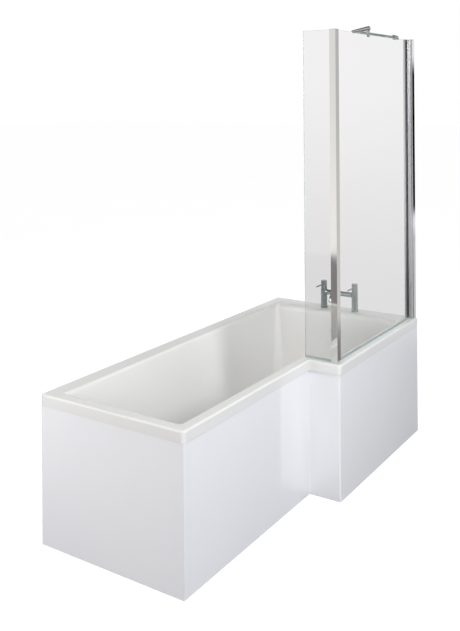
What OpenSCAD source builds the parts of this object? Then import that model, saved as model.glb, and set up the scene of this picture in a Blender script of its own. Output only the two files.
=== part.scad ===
// Square shower bath with panels, a glass screen and a deck bath filler. Millimetres, +Z up.
// The origin is on the floor, under the middle of the bath. +X runs to the tap end, +Y to the back wall.

/* [Bath] */
// Length of the bath
bath_l = 1700; // [1600:10:1800]
// Width at the narrow end
narrow_w = 700; // [680:5:720]
// Width at the shower end
wide_w = 850; // [830:5:900]
// Length of the wide shower end
wide_l = 850; // [800:10:900]
// Height of the rim above the floor
rim_h = 580; // [560:5:620]
// Height of the rim's down-turned lip
lip_h = 45; // [38:1:55]
// Thickness of the acrylic shell
shell_t = 5; // [4:0.5:6]
// Radius of the rim's corners in plan
rim_r = 14; // [8:1:20]

/* [Well] */
// Depth of the well below the rim
well_depth = 400; // [360:5:410]
// Rim width at the near end
rim_near_w = 45; // [42:1:60]
// Rim width along the narrow front
rim_front_w = 50; // [46:1:60]
// Rim width along the wide front, under the screen
rim_wide_w = 66; // [60:1:75]
// Rim width at the step, under the return pane
rim_step_w = 60; // [52:1:75]
// Rim width along the back wall
rim_back_w = 80; // [60:1:95]
// Width of the tap deck
deck_w = 130; // [110:1:150]
// Run of the sloping backrest at the near end, from the rim down to the well floor
backrest_run = 260; // [180:5:300]
// Run of the slope at the tap end
tap_run = 67; // [40:1:90]
// Run of the slope of the long sides
side_run = 42; // [25:1:55]
// Plan radius of the well's corners at the rim
well_r = 32; // [24:1:45]
// Plan radius of the well's corners at the floor
floor_r = 55; // [35:1:65]
// Radius of the curve between the walls and the well floor
knee_r = 60; // [40:1:70]

/* [Carcass] */
// Width of a rim batten
batten_w = 20; // [16:1:24]
// Depth of a rim batten
batten_t = 18; // [15:1:22]
// Thickness of the base board
board_t = 15; // [12:1:18]
// Width of a leg bar
bar_w = 40; // [35:1:50]
// Depth of a leg bar
bar_h = 25; // [22:1:30]
// Wall of a leg bar
bar_t = 2; // [1.5:0.25:3]
// Distance from the bath's ends to the outer leg bars
bar_end = 450; // [420:5:480]
// Radius of a foot's threaded stud
stud_r = 6; // [5:0.5:6]
// Radius of a foot's pad
pad_r = 25; // [20:1:27]
// Length of a foot's stud above the floor
stud_top = 190; // [185:1:200]
// Width of a floor batten
floor_batten_w = 25; // [20:1:25]
// Height of a floor batten
floor_batten_h = 38; // [25:1:45]

/* [Panels] */
// Thickness of the panels
panel_t = 4; // [3:0.5:4.5]
// Distance from the lip's face to the panels' face
panel_inset = 5.5; // [5.5:0.1:6.5]
// Gap between the panels' top edge and the rim's underside
panel_top_gap = 5; // [3:1:12]

/* [Screen] */
// Height of the screen above the rim
screen_h = 1420; // [1380:5:1500]
// Thickness of the glass
glass_t = 6; // [5:1:8]
// Distance from the wide front edge to the middle of the main pane
screen_inset = 35; // [32:1:38]
// Distance from the step's edge to the middle of the return pane
return_inset = 30; // [26:1:36]
// Side of the square corner post
post_s = 30; // [28:1:34]
// Wall of the corner post
post_t = 2; // [1.5:0.25:2.5]
// Length of the return pane seen beyond the post
return_l = 136; // [110:1:140]
// Width of the wall channel
channel_w = 47; // [40:1:48]
// Depth of the wall channel
channel_d = 27; // [24:1:32]
// Length of the adjusting profile seen beyond the wall channel
profile_show = 20; // [12:1:26]
// Height of the seals along the panes
seal_h = 7; // [6:1:12]
// Height of a seal's foot under its pane
seal_foot = 4; // [3:1:5]
// Radius of the screw holes in the wall channel
channel_hole_r = 2.5; // [2:0.25:3]
// Distance from the wall channel's ends to its outer screw holes
channel_hole_end = 110; // [80:5:140]
// Distance from the wall channel's ends to its inner screw holes
channel_hole_inner = 500; // [460:5:540]

/* [Stabiliser arm] */
// Distance from the main pane to the arm's rod
arm_offset = 75; // [65:1:90]
// Distance from the tap-end wall to the glass clamp
arm_l = 490; // [380:5:560]
// Radius of the arm's rod
arm_r = 7.5; // [6:0.5:8]
// Height of the rod's axis above the panes' top edge
arm_rise = 15.5; // [13:0.5:17]
// Radius of the clamp's head over the glass
clamp_head_r = 11.5; // [10:0.5:12.5]
// Radius of the wall cup
cup_r = 13; // [12.5:0.5:16]

/* [Bath filler] */
// Distance between the two pillars
tap_gap_w = 180; // [170:1:190]
// Distance from the tap-end edge to the pillars
tap_inset = 60; // [58:1:68]
// Radius of a pillar
pillar_r = 17; // [15:0.5:18]
// Height of a pillar up to its handle
pillar_h = 100; // [96:1:110]
// Height of the crossbar's axis above the rim
crossbar_z = 84; // [80:1:84]
// Radius of the crossbar
crossbar_r = 13; // [12:0.5:14]
// Radius of a handle
handle_r = 16; // [15:0.5:17]
// Height of a handle
handle_h = 45; // [42:1:50]
// Radius of a pin lever
lever_r = 3.5; // [3:0.25:4]
// Reach of a pin lever from the handle's axis
lever_reach = 82; // [70:1:90]
// Reach of the spout from the crossbar's axis to its outlet
spout_reach = 96; // [90:1:130]
// Radius of the spout
spout_r = 12; // [11:0.5:13]
// Radius of the inlet tails
tail_r = 13.2; // [13.2:0.1:13.4]
// Length of an inlet tail below the rim
tail_l = 75; // [60:1:85]

/* [Waste and overflow] */
// Distance from the tap-end edge to the waste
waste_inset = 300; // [280:5:320]
// Place of the waste and the overflow across the bath
waste_y = -26; // [-60:1:0]
// Radius of the waste flange
flange_r = 35; // [34:0.5:38]
// Radius of the waste outlet's thread
waste_tail_r = 23.9; // [23.9:0.1:24.1]
// Lift of the push plug
plug_lift = 8; // [6:0.5:9]
// Depth of the overflow's centre below the rim
overflow_drop_h = 90; // [80:1:110]
// Radius of the overflow cover
cover_r = 28; // [27:0.5:38]
// Outer radius of the overflow pipe
pipe_r = 16; // [14:0.5:17]

/* [Hidden] */

// Clearances
run_gap = 0.05;     // radial, a shaft in its hole
seat_gap = 0.3;     // between neighbours that only lie close
corner_gap = 2;     // between the ends of two battens
eps = 1;            // how far a cut runs past a face
round_fn = 64;      // facets shown on exact round pieces
hull_fn = 32;       // facets of a hull's corner posts

// Edges of the bath in plan
x_near = -bath_l / 2;
x_tap = bath_l / 2;
y_back = wide_w / 2;
y_wide = -wide_w / 2;
y_narrow = y_back - narrow_w;
x_step = x_tap - wide_l;

// The well
well_z = rim_h - well_depth;
well_x0 = x_near + rim_near_w;
well_x1 = x_tap - deck_w;
well_xw = x_step + rim_step_w;
well_y1 = y_back - rim_back_w;
well_yn = y_narrow + rim_front_w;
well_yw = y_wide + rim_wide_w;
under_z = well_z - shell_t;
tap_tilt = atan(tap_run / well_depth);
knee_steps = [0, 0.04, 0.13, 0.29, 0.5, 1];     // heights of the slices through the knee, in knee radii
skin_h = 0.5;       // thickness of the slices that a hull joins
wall_gap = 0.05;    // between the sloping wall and what is clamped on it

// The floor of the well, where it lies flat
flat_x0 = well_x0 + wall_inset(backrest_run, 0);
flat_x1 = well_x1 - wall_inset(tap_run, 0);
flat_xw = well_xw + wall_inset(side_run, 0);
flat_y1 = well_y1 - wall_inset(side_run, 0);
flat_yn = well_yn + wall_inset(side_run, 0);
flat_yw = well_yw + wall_inset(side_run, 0);

// Carcass
batten_inset = panel_inset + panel_t + 4.5;
batten_z = rim_h - shell_t - batten_t;
board_z = under_z - board_t;
bar_z = board_z - bar_h;
board_margin = 5;
board_cut_r = 60;
bar_over_l = 90;      // how far a leg bar reaches past the well's flat floor
foot_in = 20;       // from a bar's end to its foot
bar_near_x = x_near + bar_end;
bar_middle_x = x_step - 20;
bar_tap_x = x_tap - bar_end;
bar_back_y = flat_y1 + bar_over_l;
bar_front_y = flat_yn - bar_over_l;
bar_wide_y = flat_yw - bar_over_l;
nut_af = 19;
nut_h = 10;
screw_head_r = 5;
screw_head_h = 2.5;
screw_r = 2;
screw_l = 12;

// Panels
panel_h = rim_h - shell_t - panel_top_gap;
panel_back = panel_inset + panel_t;
clip_w = 30;
clip_h = 16;
floor_batten_inset = panel_back + 0.5;

// Wall brackets
bracket_w = 30;
bracket_t = 3;
bracket_plate_h = 60;
bracket_hook_h = 20;
bracket_hole_r = 2.5;
bracket_pitch = 30;

// Screen
screen_y = y_wide + screen_inset;
return_x = x_step + return_inset;
screen_top = rim_h + screen_h;
cap_t = 2;
glass_top = screen_top - cap_t;
glass_z = rim_h + seal_foot;
bite = post_s / 2 - post_t / 2 - glass_t;   // how far a pane enters the post
slot_w = glass_t + 2 * seat_gap;
profile_w = channel_w - 4 - 2 * 0.2;
profile_t = 1.8;
profile_d = channel_d - 7 + profile_show;
profile_x = x_tap - channel_d - profile_show;
strip_t = 1.5;      // glazing strip in front of the pane
wedge_t = 9;        // rubber wedge behind the pane
gasket_fit = 0.1;   // between a gasket and the pane
mouth_y0 = -glass_t / 2 - gasket_fit - strip_t;
mouth_y1 = glass_t / 2 + gasket_fit + wedge_t;
gasket_show = 1.5;
gasket_in = 9;
main_x0 = return_x + post_s / 2 - bite;
main_x1 = profile_x + 12;
return_y0 = screen_y + post_s / 2 - bite;
return_y1 = screen_y + post_s / 2 + return_l;
seal_w = 10;

// Stabiliser arm
arm_y = screen_y + arm_offset;
arm_z = glass_top + arm_rise;
clamp_x = x_tap - arm_l;
eye_r = 7;
pin_r = 4;
head_front = 9;     // how far the head stands in front of the pane
head_lift = 12.5;   // how much higher the head's front end is than its eye
head_run = arm_offset + head_front + eye_r;
head_tilt = atan(head_lift / head_run);
jaw_r = 8.5;
jaw_bite = 13;      // how far the jaw reaches down over the glass
cup_l = 40;
plate_l = 8;

// Bath filler
tap_x = x_tap - tap_inset;
base_r = pillar_r + 2;
base_h = 4;
washer_t = 1;
valve_r = 10;
valve_depth = 38;
valve_port_r = 3.5;
neck_r = 8;
neck_h = 8;
spindle_r = 4;
spindle_l = 24;
handle_gap = 0.3;
handle_z = rim_h + pillar_h + handle_gap;
lever_z = handle_z + handle_h * 0.55;
lever_grip = 6;
boss_r = crossbar_r + 1;
boss_l = crossbar_r + 3;
spout_bore = 8;
spout_bend = 20;
spout_drop = 4;
aerator_l = 9;
aerator_show = 1.5;
backnut_af = 36;
backnut_h = 10;
tail_groove_w = 2;
tail_groove_d = 0.8;
water_r = 8.5;
deck_hole_r = tail_r + 1;

// Waste and overflow
waste_x = x_tap - waste_inset;
waste_hole_r = 26;
flange_t = 3;
waste_bore = 19;
stub_r = 24;
stub_l = 32;
cup_wall_r = 38;
waste_cup_h = 56;
waste_tail_l = 25;
port_l = 60;         // reach of the waste's side port from its axis
port_socket_l = 16;
port_wall = 4;
washer_h = 3;
plug_r = 22;
plug_t = 5;
stem_r = 4;
hub_r = 8;
hub_h = 6;
arm_w = 4;
port_z = well_z - shell_t - 38;
pipe_wall = 2;
pipe_bend = 45;
overflow_z = rim_h - overflow_drop_h;
overflow_wall_x = well_x1 - tap_run * overflow_drop_h / well_depth;
cover_t = 8;
overflow_hole_r = 24;
elbow_r = 30;
elbow_l = 36;
elbow_neck = 38;
pipe_x = overflow_wall_x + 34;

// Colours
acrylic = "white";
panel_white = "whitesmoke";
chrome = "silver";
timber = "burlywood";
steel = "lightsteelblue";
plastic = "gainsboro";
black_rubber = "dimgray";
clear_glass = [0.8, 0.9, 0.88, 0.4];
seal_grey = [0.35, 0.45, 0.45, 0.9];

// A rectangle with round corners
module round_rect(x0, y0, x1, y1, r) {
    translate([x0 + r, y0]) square([x1 - x0 - 2 * r, y1 - y0]);
    translate([x0, y0 + r]) square([x1 - x0, y1 - y0 - 2 * r]);
    for (x = [x0 + r, x1 - r], y = [y0 + r, y1 - r]) translate([x, y]) circle(r, $fn = round_fn);
}

// The bath's L-shaped outline, drawn in by an inset
module bath_outline(inset, r) {
    round_rect(x_near + inset, y_narrow + inset, x_tap - inset, y_back - inset, r);
    round_rect(x_step + inset, y_wide + inset, x_tap - inset, y_back - inset, r);
}

// A thin rectangular slice with round corners, one level of a tapered well
module well_slice(x0, y0, x1, y1, r, z) {
    for (x = [x0 + r, x1 - r], y = [y0 + r, y1 - r])
        translate([x, y, z]) cylinder(h = skin_h, r = r, $fn = hull_fn);
}

// How far a wall stands in from its top edge at height h above the well floor. The wall is a straight slope
// with the given run, and a round knee joins it to the floor.
function knee_foot(run) = knee_r * tan((90 - atan(run / well_depth)) / 2);
function wall_inset(run, h) = h > knee_foot(run) * cos(atan(run / well_depth))
    ? run * (well_depth - h) / well_depth
    : run + knee_foot(run) - sqrt(pow(knee_r, 2) - pow(knee_r - h, 2));

// One basin of the well. grow is the shell's thickness on its outside, and top is the height of its top
// slice above the well floor.
module basin(x0, y0, near_run, front_run, grow, top) {
    levels = concat([for (k = knee_steps) k * knee_r], [top]);
    hull() for (h = levels)
        well_slice(x0 + wall_inset(near_run, h) - grow, y0 + wall_inset(front_run, h) - grow,
            well_x1 - wall_inset(tap_run, h) + grow, well_y1 - wall_inset(side_run, h) + grow,
            floor_r + (well_r - floor_r) * h / well_depth + grow,
            well_z + h - grow * max(0, 1 - h / knee_r));
}

// Both basins of the L-shaped well
module well(grow, top) {
    basin(well_x0, well_yn, backrest_run, side_run, grow, top);
    basin(well_xw, well_yw, side_run, side_run, grow, top);
}

// Places its children on the tap-end wall of the well, with +X out of the wall towards the tap end
module on_overflow() {
    translate([overflow_wall_x, waste_y, overflow_z]) rotate([0, tap_tilt, 0]) children();
}

module tub_shell() {
    color(acrylic) difference() {
        union() {
            translate([0, 0, rim_h - shell_t]) linear_extrude(shell_t) bath_outline(0, rim_r);
            translate([0, 0, rim_h - lip_h]) linear_extrude(lip_h) difference() {
                bath_outline(0, rim_r);
                bath_outline(shell_t, rim_r - shell_t);
            }
            well(shell_t, well_depth - skin_h);
        }
        well(0, well_depth + eps);
        translate([waste_x, waste_y, under_z - eps]) cylinder(h = shell_t + 2 * eps, r = waste_hole_r, $fn = round_fn);
        on_overflow() rotate([0, 90, 0])
            translate([0, 0, -2 * shell_t]) cylinder(h = 4 * shell_t, r = overflow_hole_r, $fn = round_fn);
        for (side = [-1, 1]) translate([tap_x, side * tap_gap_w / 2, rim_h - shell_t - eps])
            cylinder(h = shell_t + 2 * eps, r = deck_hole_r, $fn = round_fn);
    }
}

module base_board() {
    color(timber) translate([0, 0, board_z]) linear_extrude(board_t) difference() {
        union() {
            translate([flat_x0 + board_margin, flat_yn + board_margin])
                square([flat_x1 - flat_x0 - 2 * board_margin, flat_y1 - flat_yn - 2 * board_margin]);
            translate([flat_xw + board_margin, flat_yw + board_margin])
                square([flat_x1 - flat_xw - 2 * board_margin, flat_y1 - flat_yw - 2 * board_margin]);
        }
        translate([waste_x, waste_y]) circle(board_cut_r, $fn = round_fn);
        for (bar = bars, y = bar_screw_ys(bar[1], bar_back_y)) translate([bar[0], y])
            circle(screw_r + run_gap, $fn = round_fn);
    }
}

// A rim batten between two corners in plan
module rim_batten(x0, y0, x1, y1) {
    color(timber) translate([x0, y0, batten_z]) cube([x1 - x0, y1 - y0, batten_t]);
}

end_in = batten_inset + batten_w + corner_gap;

module rim_batten_back() {
    rim_batten(x_near + end_in, y_back - batten_inset - batten_w, x_tap - end_in, y_back - batten_inset);
}

module rim_batten_near() {
    rim_batten(x_near + batten_inset, y_narrow + batten_inset, x_near + batten_inset + batten_w,
        y_back - batten_inset);
}

module rim_batten_tap() {
    rim_batten(x_tap - batten_inset - batten_w, y_wide + batten_inset, x_tap - batten_inset,
        y_back - batten_inset);
}

module rim_batten_narrow() {
    rim_batten(x_near + end_in, y_narrow + batten_inset, x_step + batten_inset,
        y_narrow + batten_inset + batten_w);
}

module rim_batten_wide() {
    rim_batten(x_step + batten_inset, y_wide + batten_inset, x_tap - end_in, y_wide + batten_inset + batten_w);
}

// A pressed channel under the base board, open downwards, with a hole for each foot's stud
module leg_bar(x, y0, y1) {
    color(steel) difference() {
        translate([x - bar_w / 2, y0, bar_z]) cube([bar_w, y1 - y0, bar_h]);
        translate([x - bar_w / 2 + bar_t, y0 - eps, bar_z - eps])
            cube([bar_w - 2 * bar_t, y1 - y0 + 2 * eps, bar_h - bar_t + eps]);
        for (y = [y0 + foot_in, y1 - foot_in]) translate([x, y, bar_z])
            cylinder(h = bar_h + eps, r = stud_r + run_gap, $fn = round_fn);
        for (y = bar_screw_ys(y0, y1)) translate([x, y, bar_z])
            cylinder(h = bar_h + eps, r = screw_r + run_gap, $fn = round_fn);
    }
}

// Where a bar's two screws lie along it, well inside the base board
function bar_screw_ys(y0, y1) = [y0 + bar_over_l + 40, y1 - bar_over_l - 40];

bars = [[bar_near_x, bar_front_y], [bar_middle_x, bar_front_y], [bar_tap_x, bar_wide_y]];

module leg_bar_near() { leg_bar(bar_near_x, bar_front_y, bar_back_y); }
module leg_bar_middle() { leg_bar(bar_middle_x, bar_front_y, bar_back_y); }
module leg_bar_tap() { leg_bar(bar_tap_x, bar_wide_y, bar_back_y); }

module bar_screws() {
    color(steel) for (bar = bars, y = bar_screw_ys(bar[1], bar_back_y))
        translate([bar[0], y, board_z - bar_t]) {
            translate([0, 0, -screw_head_h]) cylinder(h = screw_head_h, r = screw_head_r, $fn = round_fn);
            cylinder(h = screw_l, r = screw_r, $fn = round_fn);
        }
}

// An adjustable foot: threaded stud with its moulded pad
module foot(x, y) {
    color(plastic) translate([x, y, 0]) rotate_extrude($fn = round_fn)
        polygon([[0, 0], [pad_r, 0], [pad_r, 5], [pad_r - 8, 9], [12, 12], [12, 22], [stud_r, 22],
            [stud_r, stud_top - 1], [stud_r - 1, stud_top], [0, stud_top]]);
}

module foot_near_front() { foot(bar_near_x, bar_front_y + foot_in); }
module foot_near_back() { foot(bar_near_x, bar_back_y - foot_in); }
module foot_middle_front() { foot(bar_middle_x, bar_front_y + foot_in); }
module foot_middle_back() { foot(bar_middle_x, bar_back_y - foot_in); }
module foot_tap_front() { foot(bar_tap_x, bar_wide_y + foot_in); }
module foot_tap_back() { foot(bar_tap_x, bar_back_y - foot_in); }

// A hexagon nut standing on z, with a clear hole
module nut(af, h, hole_r) {
    difference() {
        cylinder(h = h, r = af / sqrt(3), $fn = 6);
        translate([0, 0, -eps]) cylinder(h = h + 2 * eps, r = hole_r, $fn = round_fn);
    }
}

module lock_nuts() {
    color(steel) for (bar = bars, y = [bar[1] + foot_in, bar_back_y - foot_in]) translate([bar[0], y, 0]) {
        translate([0, 0, board_z]) nut(nut_af, nut_h, stud_r + run_gap);
        translate([0, 0, board_z - bar_t - nut_h]) nut(nut_af, nut_h, stud_r + run_gap);
    }
}

// The room of a panel: all of the bath's plan below the rim's lip, and what stands behind the lip above
module panel_room() {
    linear_extrude(rim_h - lip_h - seat_gap) bath_outline(0, eps);
    linear_extrude(rim_h) bath_outline(shell_t + seat_gap, rim_r - shell_t - seat_gap);
}

module front_panel() {
    n_out = y_narrow + panel_inset;
    n_in = y_narrow + panel_back;
    w_out = y_wide + panel_inset;
    w_in = y_wide + panel_back;
    color(panel_white) intersection() {
        panel_room();
        linear_extrude(panel_h) polygon([
            [x_near + panel_inset, n_out], [x_step + panel_inset, n_out], [x_step + panel_inset, w_out],
            [x_tap - seat_gap, w_out], [x_tap - seat_gap, w_in], [x_step + panel_back, w_in],
            [x_step + panel_back, n_in], [x_near + panel_inset, n_in]]);
    }
}

module end_panel() {
    color(panel_white) intersection() {
        panel_room();
        translate([x_near + panel_inset, y_narrow + panel_back + seat_gap, 0])
            cube([panel_t, narrow_w - panel_back - 2 * seat_gap, panel_h]);
    }
}

// A spring clip standing on a batten's face, with its tongue towards +Y against the panel
module clip() {
    gap = batten_inset - panel_back;
    tongue_h = 5;
    translate([-clip_w / 2, 0, 0]) {
        cube([clip_w, gap - 1.5, clip_h]);
        translate([0, 0, clip_h - tongue_h]) cube([clip_w, gap - seat_gap / 2, tongue_h]);
    }
}

module panel_clips() {
    clip_z = batten_z + 1;
    near_gap = narrow_w / 4;
    color(plastic) {
        for (k = [-1, 1]) translate([x_near + batten_inset, (y_narrow + y_back) / 2 + k * near_gap, clip_z])
            rotate([0, 0, 90]) clip();
        for (k = [1, 3, 5]) translate([x_near + (bath_l - wide_l) * k / 6, y_narrow + batten_inset, clip_z])
            rotate([0, 0, 180]) clip();
        for (k = [1, 3, 5]) translate([x_step + wide_l * k / 6, y_wide + batten_inset, clip_z])
            rotate([0, 0, 180]) clip();
    }
}

// A floor batten between two corners in plan
module floor_batten(x0, y0, x1, y1) {
    color(timber) translate([x0, y0, 0]) cube([x1 - x0, y1 - y0, floor_batten_h]);
}

module floor_batten_end() {
    x = x_near + floor_batten_inset;
    floor_batten(x, y_narrow + floor_batten_inset + floor_batten_w + corner_gap, x + floor_batten_w,
        y_back - shell_t - corner_gap);
}

module floor_batten_narrow() {
    y = y_narrow + floor_batten_inset;
    floor_batten(x_near + floor_batten_inset, y, x_step - corner_gap, y + floor_batten_w);
}

module floor_batten_wide() {
    y = y_wide + floor_batten_inset;
    floor_batten(x_step + floor_batten_inset, y, x_tap - corner_gap, y + floor_batten_w);
}

// A joggled bracket on the wall plane y = 0, with the room towards -Y and the lip's lower edge at z = 0
module wall_bracket() {
    hook_y = -shell_t - seat_gap - bracket_t;
    translate([-bracket_w / 2, 0, 0]) difference() {
        union() {
            translate([0, -bracket_t, -bracket_plate_h - seat_gap]) cube([bracket_w, bracket_t, bracket_plate_h]);
            translate([0, hook_y, -bracket_t - seat_gap]) cube([bracket_w, -hook_y, bracket_t]);
            translate([0, hook_y, -bracket_t - seat_gap]) cube([bracket_w, bracket_t, bracket_hook_h]);
        }
        for (k = [-1, 1]) translate([bracket_w / 2, -bracket_t - eps, -bracket_plate_h / 2 - 4 + k * bracket_pitch / 2])
            rotate([-90, 0, 0]) cylinder(h = bracket_t + 2 * eps, r = bracket_hole_r, $fn = round_fn);
    }
}

module wall_brackets() {
    color(steel) {
        for (k = [-1, 1]) translate([k * bath_l / 4, y_back, rim_h - lip_h]) wall_bracket();
        translate([x_tap, y_back / 2, rim_h - lip_h]) rotate([0, 0, -90]) wall_bracket();
    }
}

module waste_flange() {
    color(chrome) translate([waste_x, waste_y, 0]) {
        difference() {
            union() {
                translate([0, 0, well_z]) cylinder(h = flange_t, r = flange_r, $fn = round_fn);
                translate([0, 0, well_z - stub_l]) cylinder(h = stub_l + eps, r = stub_r, $fn = round_fn);
            }
            translate([0, 0, well_z - stub_l - eps])
                cylinder(h = stub_l + flange_t + 2 * eps, r = waste_bore, $fn = round_fn);
        }
        translate([0, 0, well_z - stub_l]) difference() {
            union() {
                cylinder(h = hub_h, r = hub_r, $fn = round_fn);
                for (k = [0:2]) rotate([0, 0, 120 * k]) translate([0, -arm_w / 2, 0])
                    cube([waste_bore + 1, arm_w, hub_h]);
            }
            translate([0, 0, -eps]) cylinder(h = hub_h + 2 * eps, r = stem_r + run_gap, $fn = round_fn);
        }
    }
}

module waste_washer() {
    color(black_rubber) translate([waste_x, waste_y, under_z - washer_h]) difference() {
        cylinder(h = washer_h, r = cup_wall_r, $fn = round_fn);
        translate([0, 0, -eps]) cylinder(h = washer_h + 2 * eps, r = stub_r + seat_gap, $fn = round_fn);
    }
}

module waste_body() {
    top = under_z - washer_h;
    color(plastic) translate([waste_x, waste_y, 0]) difference() {
        union() {
            translate([0, 0, top - waste_cup_h]) cylinder(h = waste_cup_h, r = cup_wall_r, $fn = round_fn);
            translate([0, 0, top - waste_cup_h - waste_tail_l])
                cylinder(h = waste_tail_l + eps, r = waste_tail_r, $fn = round_fn);
            translate([0, 0, port_z]) rotate([0, 90, 0])
                cylinder(h = port_l, r = pipe_r + port_wall, $fn = round_fn);
        }
        translate([0, 0, top - 30]) cylinder(h = 30 + eps, r = stub_r + run_gap, $fn = round_fn);
        translate([0, 0, top - waste_cup_h - waste_tail_l - eps])
            cylinder(h = waste_cup_h + waste_tail_l, r = waste_bore, $fn = round_fn);
        translate([0, 0, port_z]) rotate([0, 90, 0])
            cylinder(h = port_l + eps, r = pipe_r - pipe_wall, $fn = round_fn);
        translate([port_l - port_socket_l, 0, port_z]) rotate([0, 90, 0])
            cylinder(h = port_socket_l + eps, r = pipe_r + run_gap, $fn = round_fn);
    }
}

module waste_plug() {
    top = well_z + flange_t + plug_lift;
    stem_end = well_z - stub_l - 4;
    color(chrome) translate([waste_x, waste_y, 0]) rotate_extrude($fn = round_fn)
        polygon([[0, stem_end], [stem_r, stem_end], [stem_r, top], [plug_r - 3, top], [plug_r, top + 1],
            [plug_r, top + plug_t - 2], [plug_r - 4, top + plug_t], [0, top + plug_t]]);
}

module overflow_cover() {
    color(chrome) on_overflow() rotate([0, -90, 0]) translate([0, 0, wall_gap]) difference() {
        rotate_extrude($fn = round_fn)
            polygon([[0, 0], [cover_r, 0], [cover_r, cover_t - 2], [cover_r - 2, cover_t], [0, cover_t]]);
        translate([-cover_r - eps, -10, -eps]) cube([cover_r / 2, 20, cover_t - 2]);
    }
}

module overflow_washer() {
    color(black_rubber) on_overflow() rotate([0, 90, 0]) translate([0, 0, shell_t]) difference() {
        cylinder(h = washer_h, r = elbow_r, $fn = round_fn);
        translate([0, 0, -eps]) cylinder(h = washer_h + 2 * eps, r = overflow_hole_r, $fn = round_fn);
    }
}

module overflow_elbow() {
    cup_x = shell_t + washer_h;
    color(plastic) difference() {
        union() {
            on_overflow() rotate([0, 90, 0]) translate([0, 0, cup_x]) cylinder(h = elbow_l, r = elbow_r, $fn = round_fn);
            translate([pipe_x, waste_y, overflow_z - elbow_r - elbow_neck])
                cylinder(h = elbow_r + elbow_neck, r = pipe_r + 3, $fn = round_fn);
        }
        on_overflow() rotate([0, 90, 0]) translate([0, 0, cup_x - eps])
            cylinder(h = elbow_l - 3, r = elbow_r - 4, $fn = round_fn);
        translate([pipe_x, waste_y, overflow_z - elbow_r - elbow_neck - eps])
            cylinder(h = elbow_r + elbow_neck, r = pipe_r - pipe_wall, $fn = round_fn);
        translate([pipe_x, waste_y, overflow_z - elbow_r - elbow_neck - eps])
            cylinder(h = 18 + eps, r = pipe_r + run_gap, $fn = round_fn);
    }
}

module overflow_pipe() {
    top = overflow_z - elbow_r - elbow_neck + 17;
    end_x = waste_x + port_l - port_socket_l + 1;
    bend_x = pipe_x - pipe_bend;
    bend_z = port_z + pipe_bend;
    color(plastic) difference() {
        pipe_run(pipe_r, top, end_x, bend_x, bend_z, 0);
        pipe_run(pipe_r - pipe_wall, top, end_x, bend_x, bend_z, eps);
    }
}

// The overflow pipe's path as a solid of radius r: down, round a bend and along to the waste
module pipe_run(r, top, end_x, bend_x, bend_z, past) {
    translate([pipe_x, waste_y, bend_z]) cylinder(h = top - bend_z + past, r = r, $fn = round_fn);
    translate([end_x - past, waste_y, port_z]) rotate([0, 90, 0]) cylinder(h = bend_x - end_x + past, r = r, $fn = round_fn);
    translate([bend_x, waste_y, bend_z]) rotate([-90, 0, 0]) rotate_extrude(angle = 90, $fn = round_fn)
        translate([pipe_bend, 0]) circle(r, $fn = round_fn);
}

module filler_body() {
    color(chrome) difference() {
        union() {
            for (side = [-1, 1]) translate([tap_x, side * tap_gap_w / 2, rim_h]) {
                translate([0, 0, washer_t]) cylinder(h = pillar_h - washer_t, r = pillar_r, $fn = round_fn);
                translate([0, 0, washer_t]) cylinder(h = base_h, r = base_r, $fn = round_fn);
                translate([0, 0, -tail_l]) cylinder(h = tail_l + 2 * eps, r = tail_r, $fn = round_fn);
            }
            translate([tap_x, -tap_gap_w / 2, rim_h + crossbar_z]) rotate([-90, 0, 0])
                cylinder(h = tap_gap_w, r = crossbar_r, $fn = round_fn);
            translate([tap_x, 0, rim_h + crossbar_z]) rotate([0, -90, 0])
                cylinder(h = boss_l, r = boss_r, $fn = round_fn);
        }
        for (side = [-1, 1]) translate([tap_x, side * tap_gap_w / 2, rim_h]) {
            translate([0, 0, pillar_h - valve_depth]) cylinder(h = valve_depth + eps, r = valve_r, $fn = round_fn);
            translate([0, 0, -tail_l - eps])
                cylinder(h = tail_l + pillar_h - valve_depth + 2 * eps, r = water_r, $fn = round_fn);
            translate([0, 0, -shell_t - backnut_h - 1 - tail_groove_w]) difference() {
                cylinder(h = tail_groove_w, r = tail_r + 1, $fn = round_fn);
                translate([0, 0, -eps])
                    cylinder(h = tail_groove_w + 2 * eps, r = tail_r - tail_groove_d, $fn = round_fn);
            }
        }
        translate([tap_x + eps, 0, rim_h + crossbar_z]) rotate([0, -90, 0])
            cylinder(h = boss_l + 2 * eps, r = spout_bore, $fn = round_fn);
        translate([tap_x, -tap_gap_w / 2, rim_h + crossbar_z]) rotate([-90, 0, 0])
            cylinder(h = tap_gap_w, r = spout_bore, $fn = round_fn);
    }
}

// The spout's path as a solid of radius r, past its ends by the given length
module spout_run(r, past) {
    bend_x = tap_x - spout_reach + spout_bend;
    start_x = tap_x - boss_l;
    z = rim_h + crossbar_z;
    translate([start_x + past, 0, z]) rotate([0, -90, 0]) cylinder(h = start_x + past - bend_x, r = r, $fn = round_fn);
    translate([bend_x, 0, z - spout_bend]) rotate([90, 0, 0]) rotate_extrude(start = 90, angle = 90, $fn = round_fn)
        translate([spout_bend, 0]) circle(r, $fn = round_fn);
    translate([tap_x - spout_reach, 0, z - spout_bend - spout_drop - past])
        cylinder(h = spout_drop + past, r = r, $fn = round_fn);
}

module spout() {
    color(chrome) difference() {
        spout_run(spout_r, 0);
        spout_run(spout_bore, eps);
    }
}

module aerator() {
    z = rim_h + crossbar_z - spout_bend - spout_drop - aerator_show;
    color(plastic) translate([tap_x - spout_reach, 0, z]) difference() {
        union() {
            cylinder(h = aerator_show, r = spout_bore + 2, $fn = round_fn);
            cylinder(h = aerator_show + spout_drop - 1, r = spout_bore - run_gap, $fn = round_fn);
        }
        translate([0, 0, -eps]) cylinder(h = aerator_l, r = spout_bore - 2.5, $fn = round_fn);
    }
}

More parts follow.
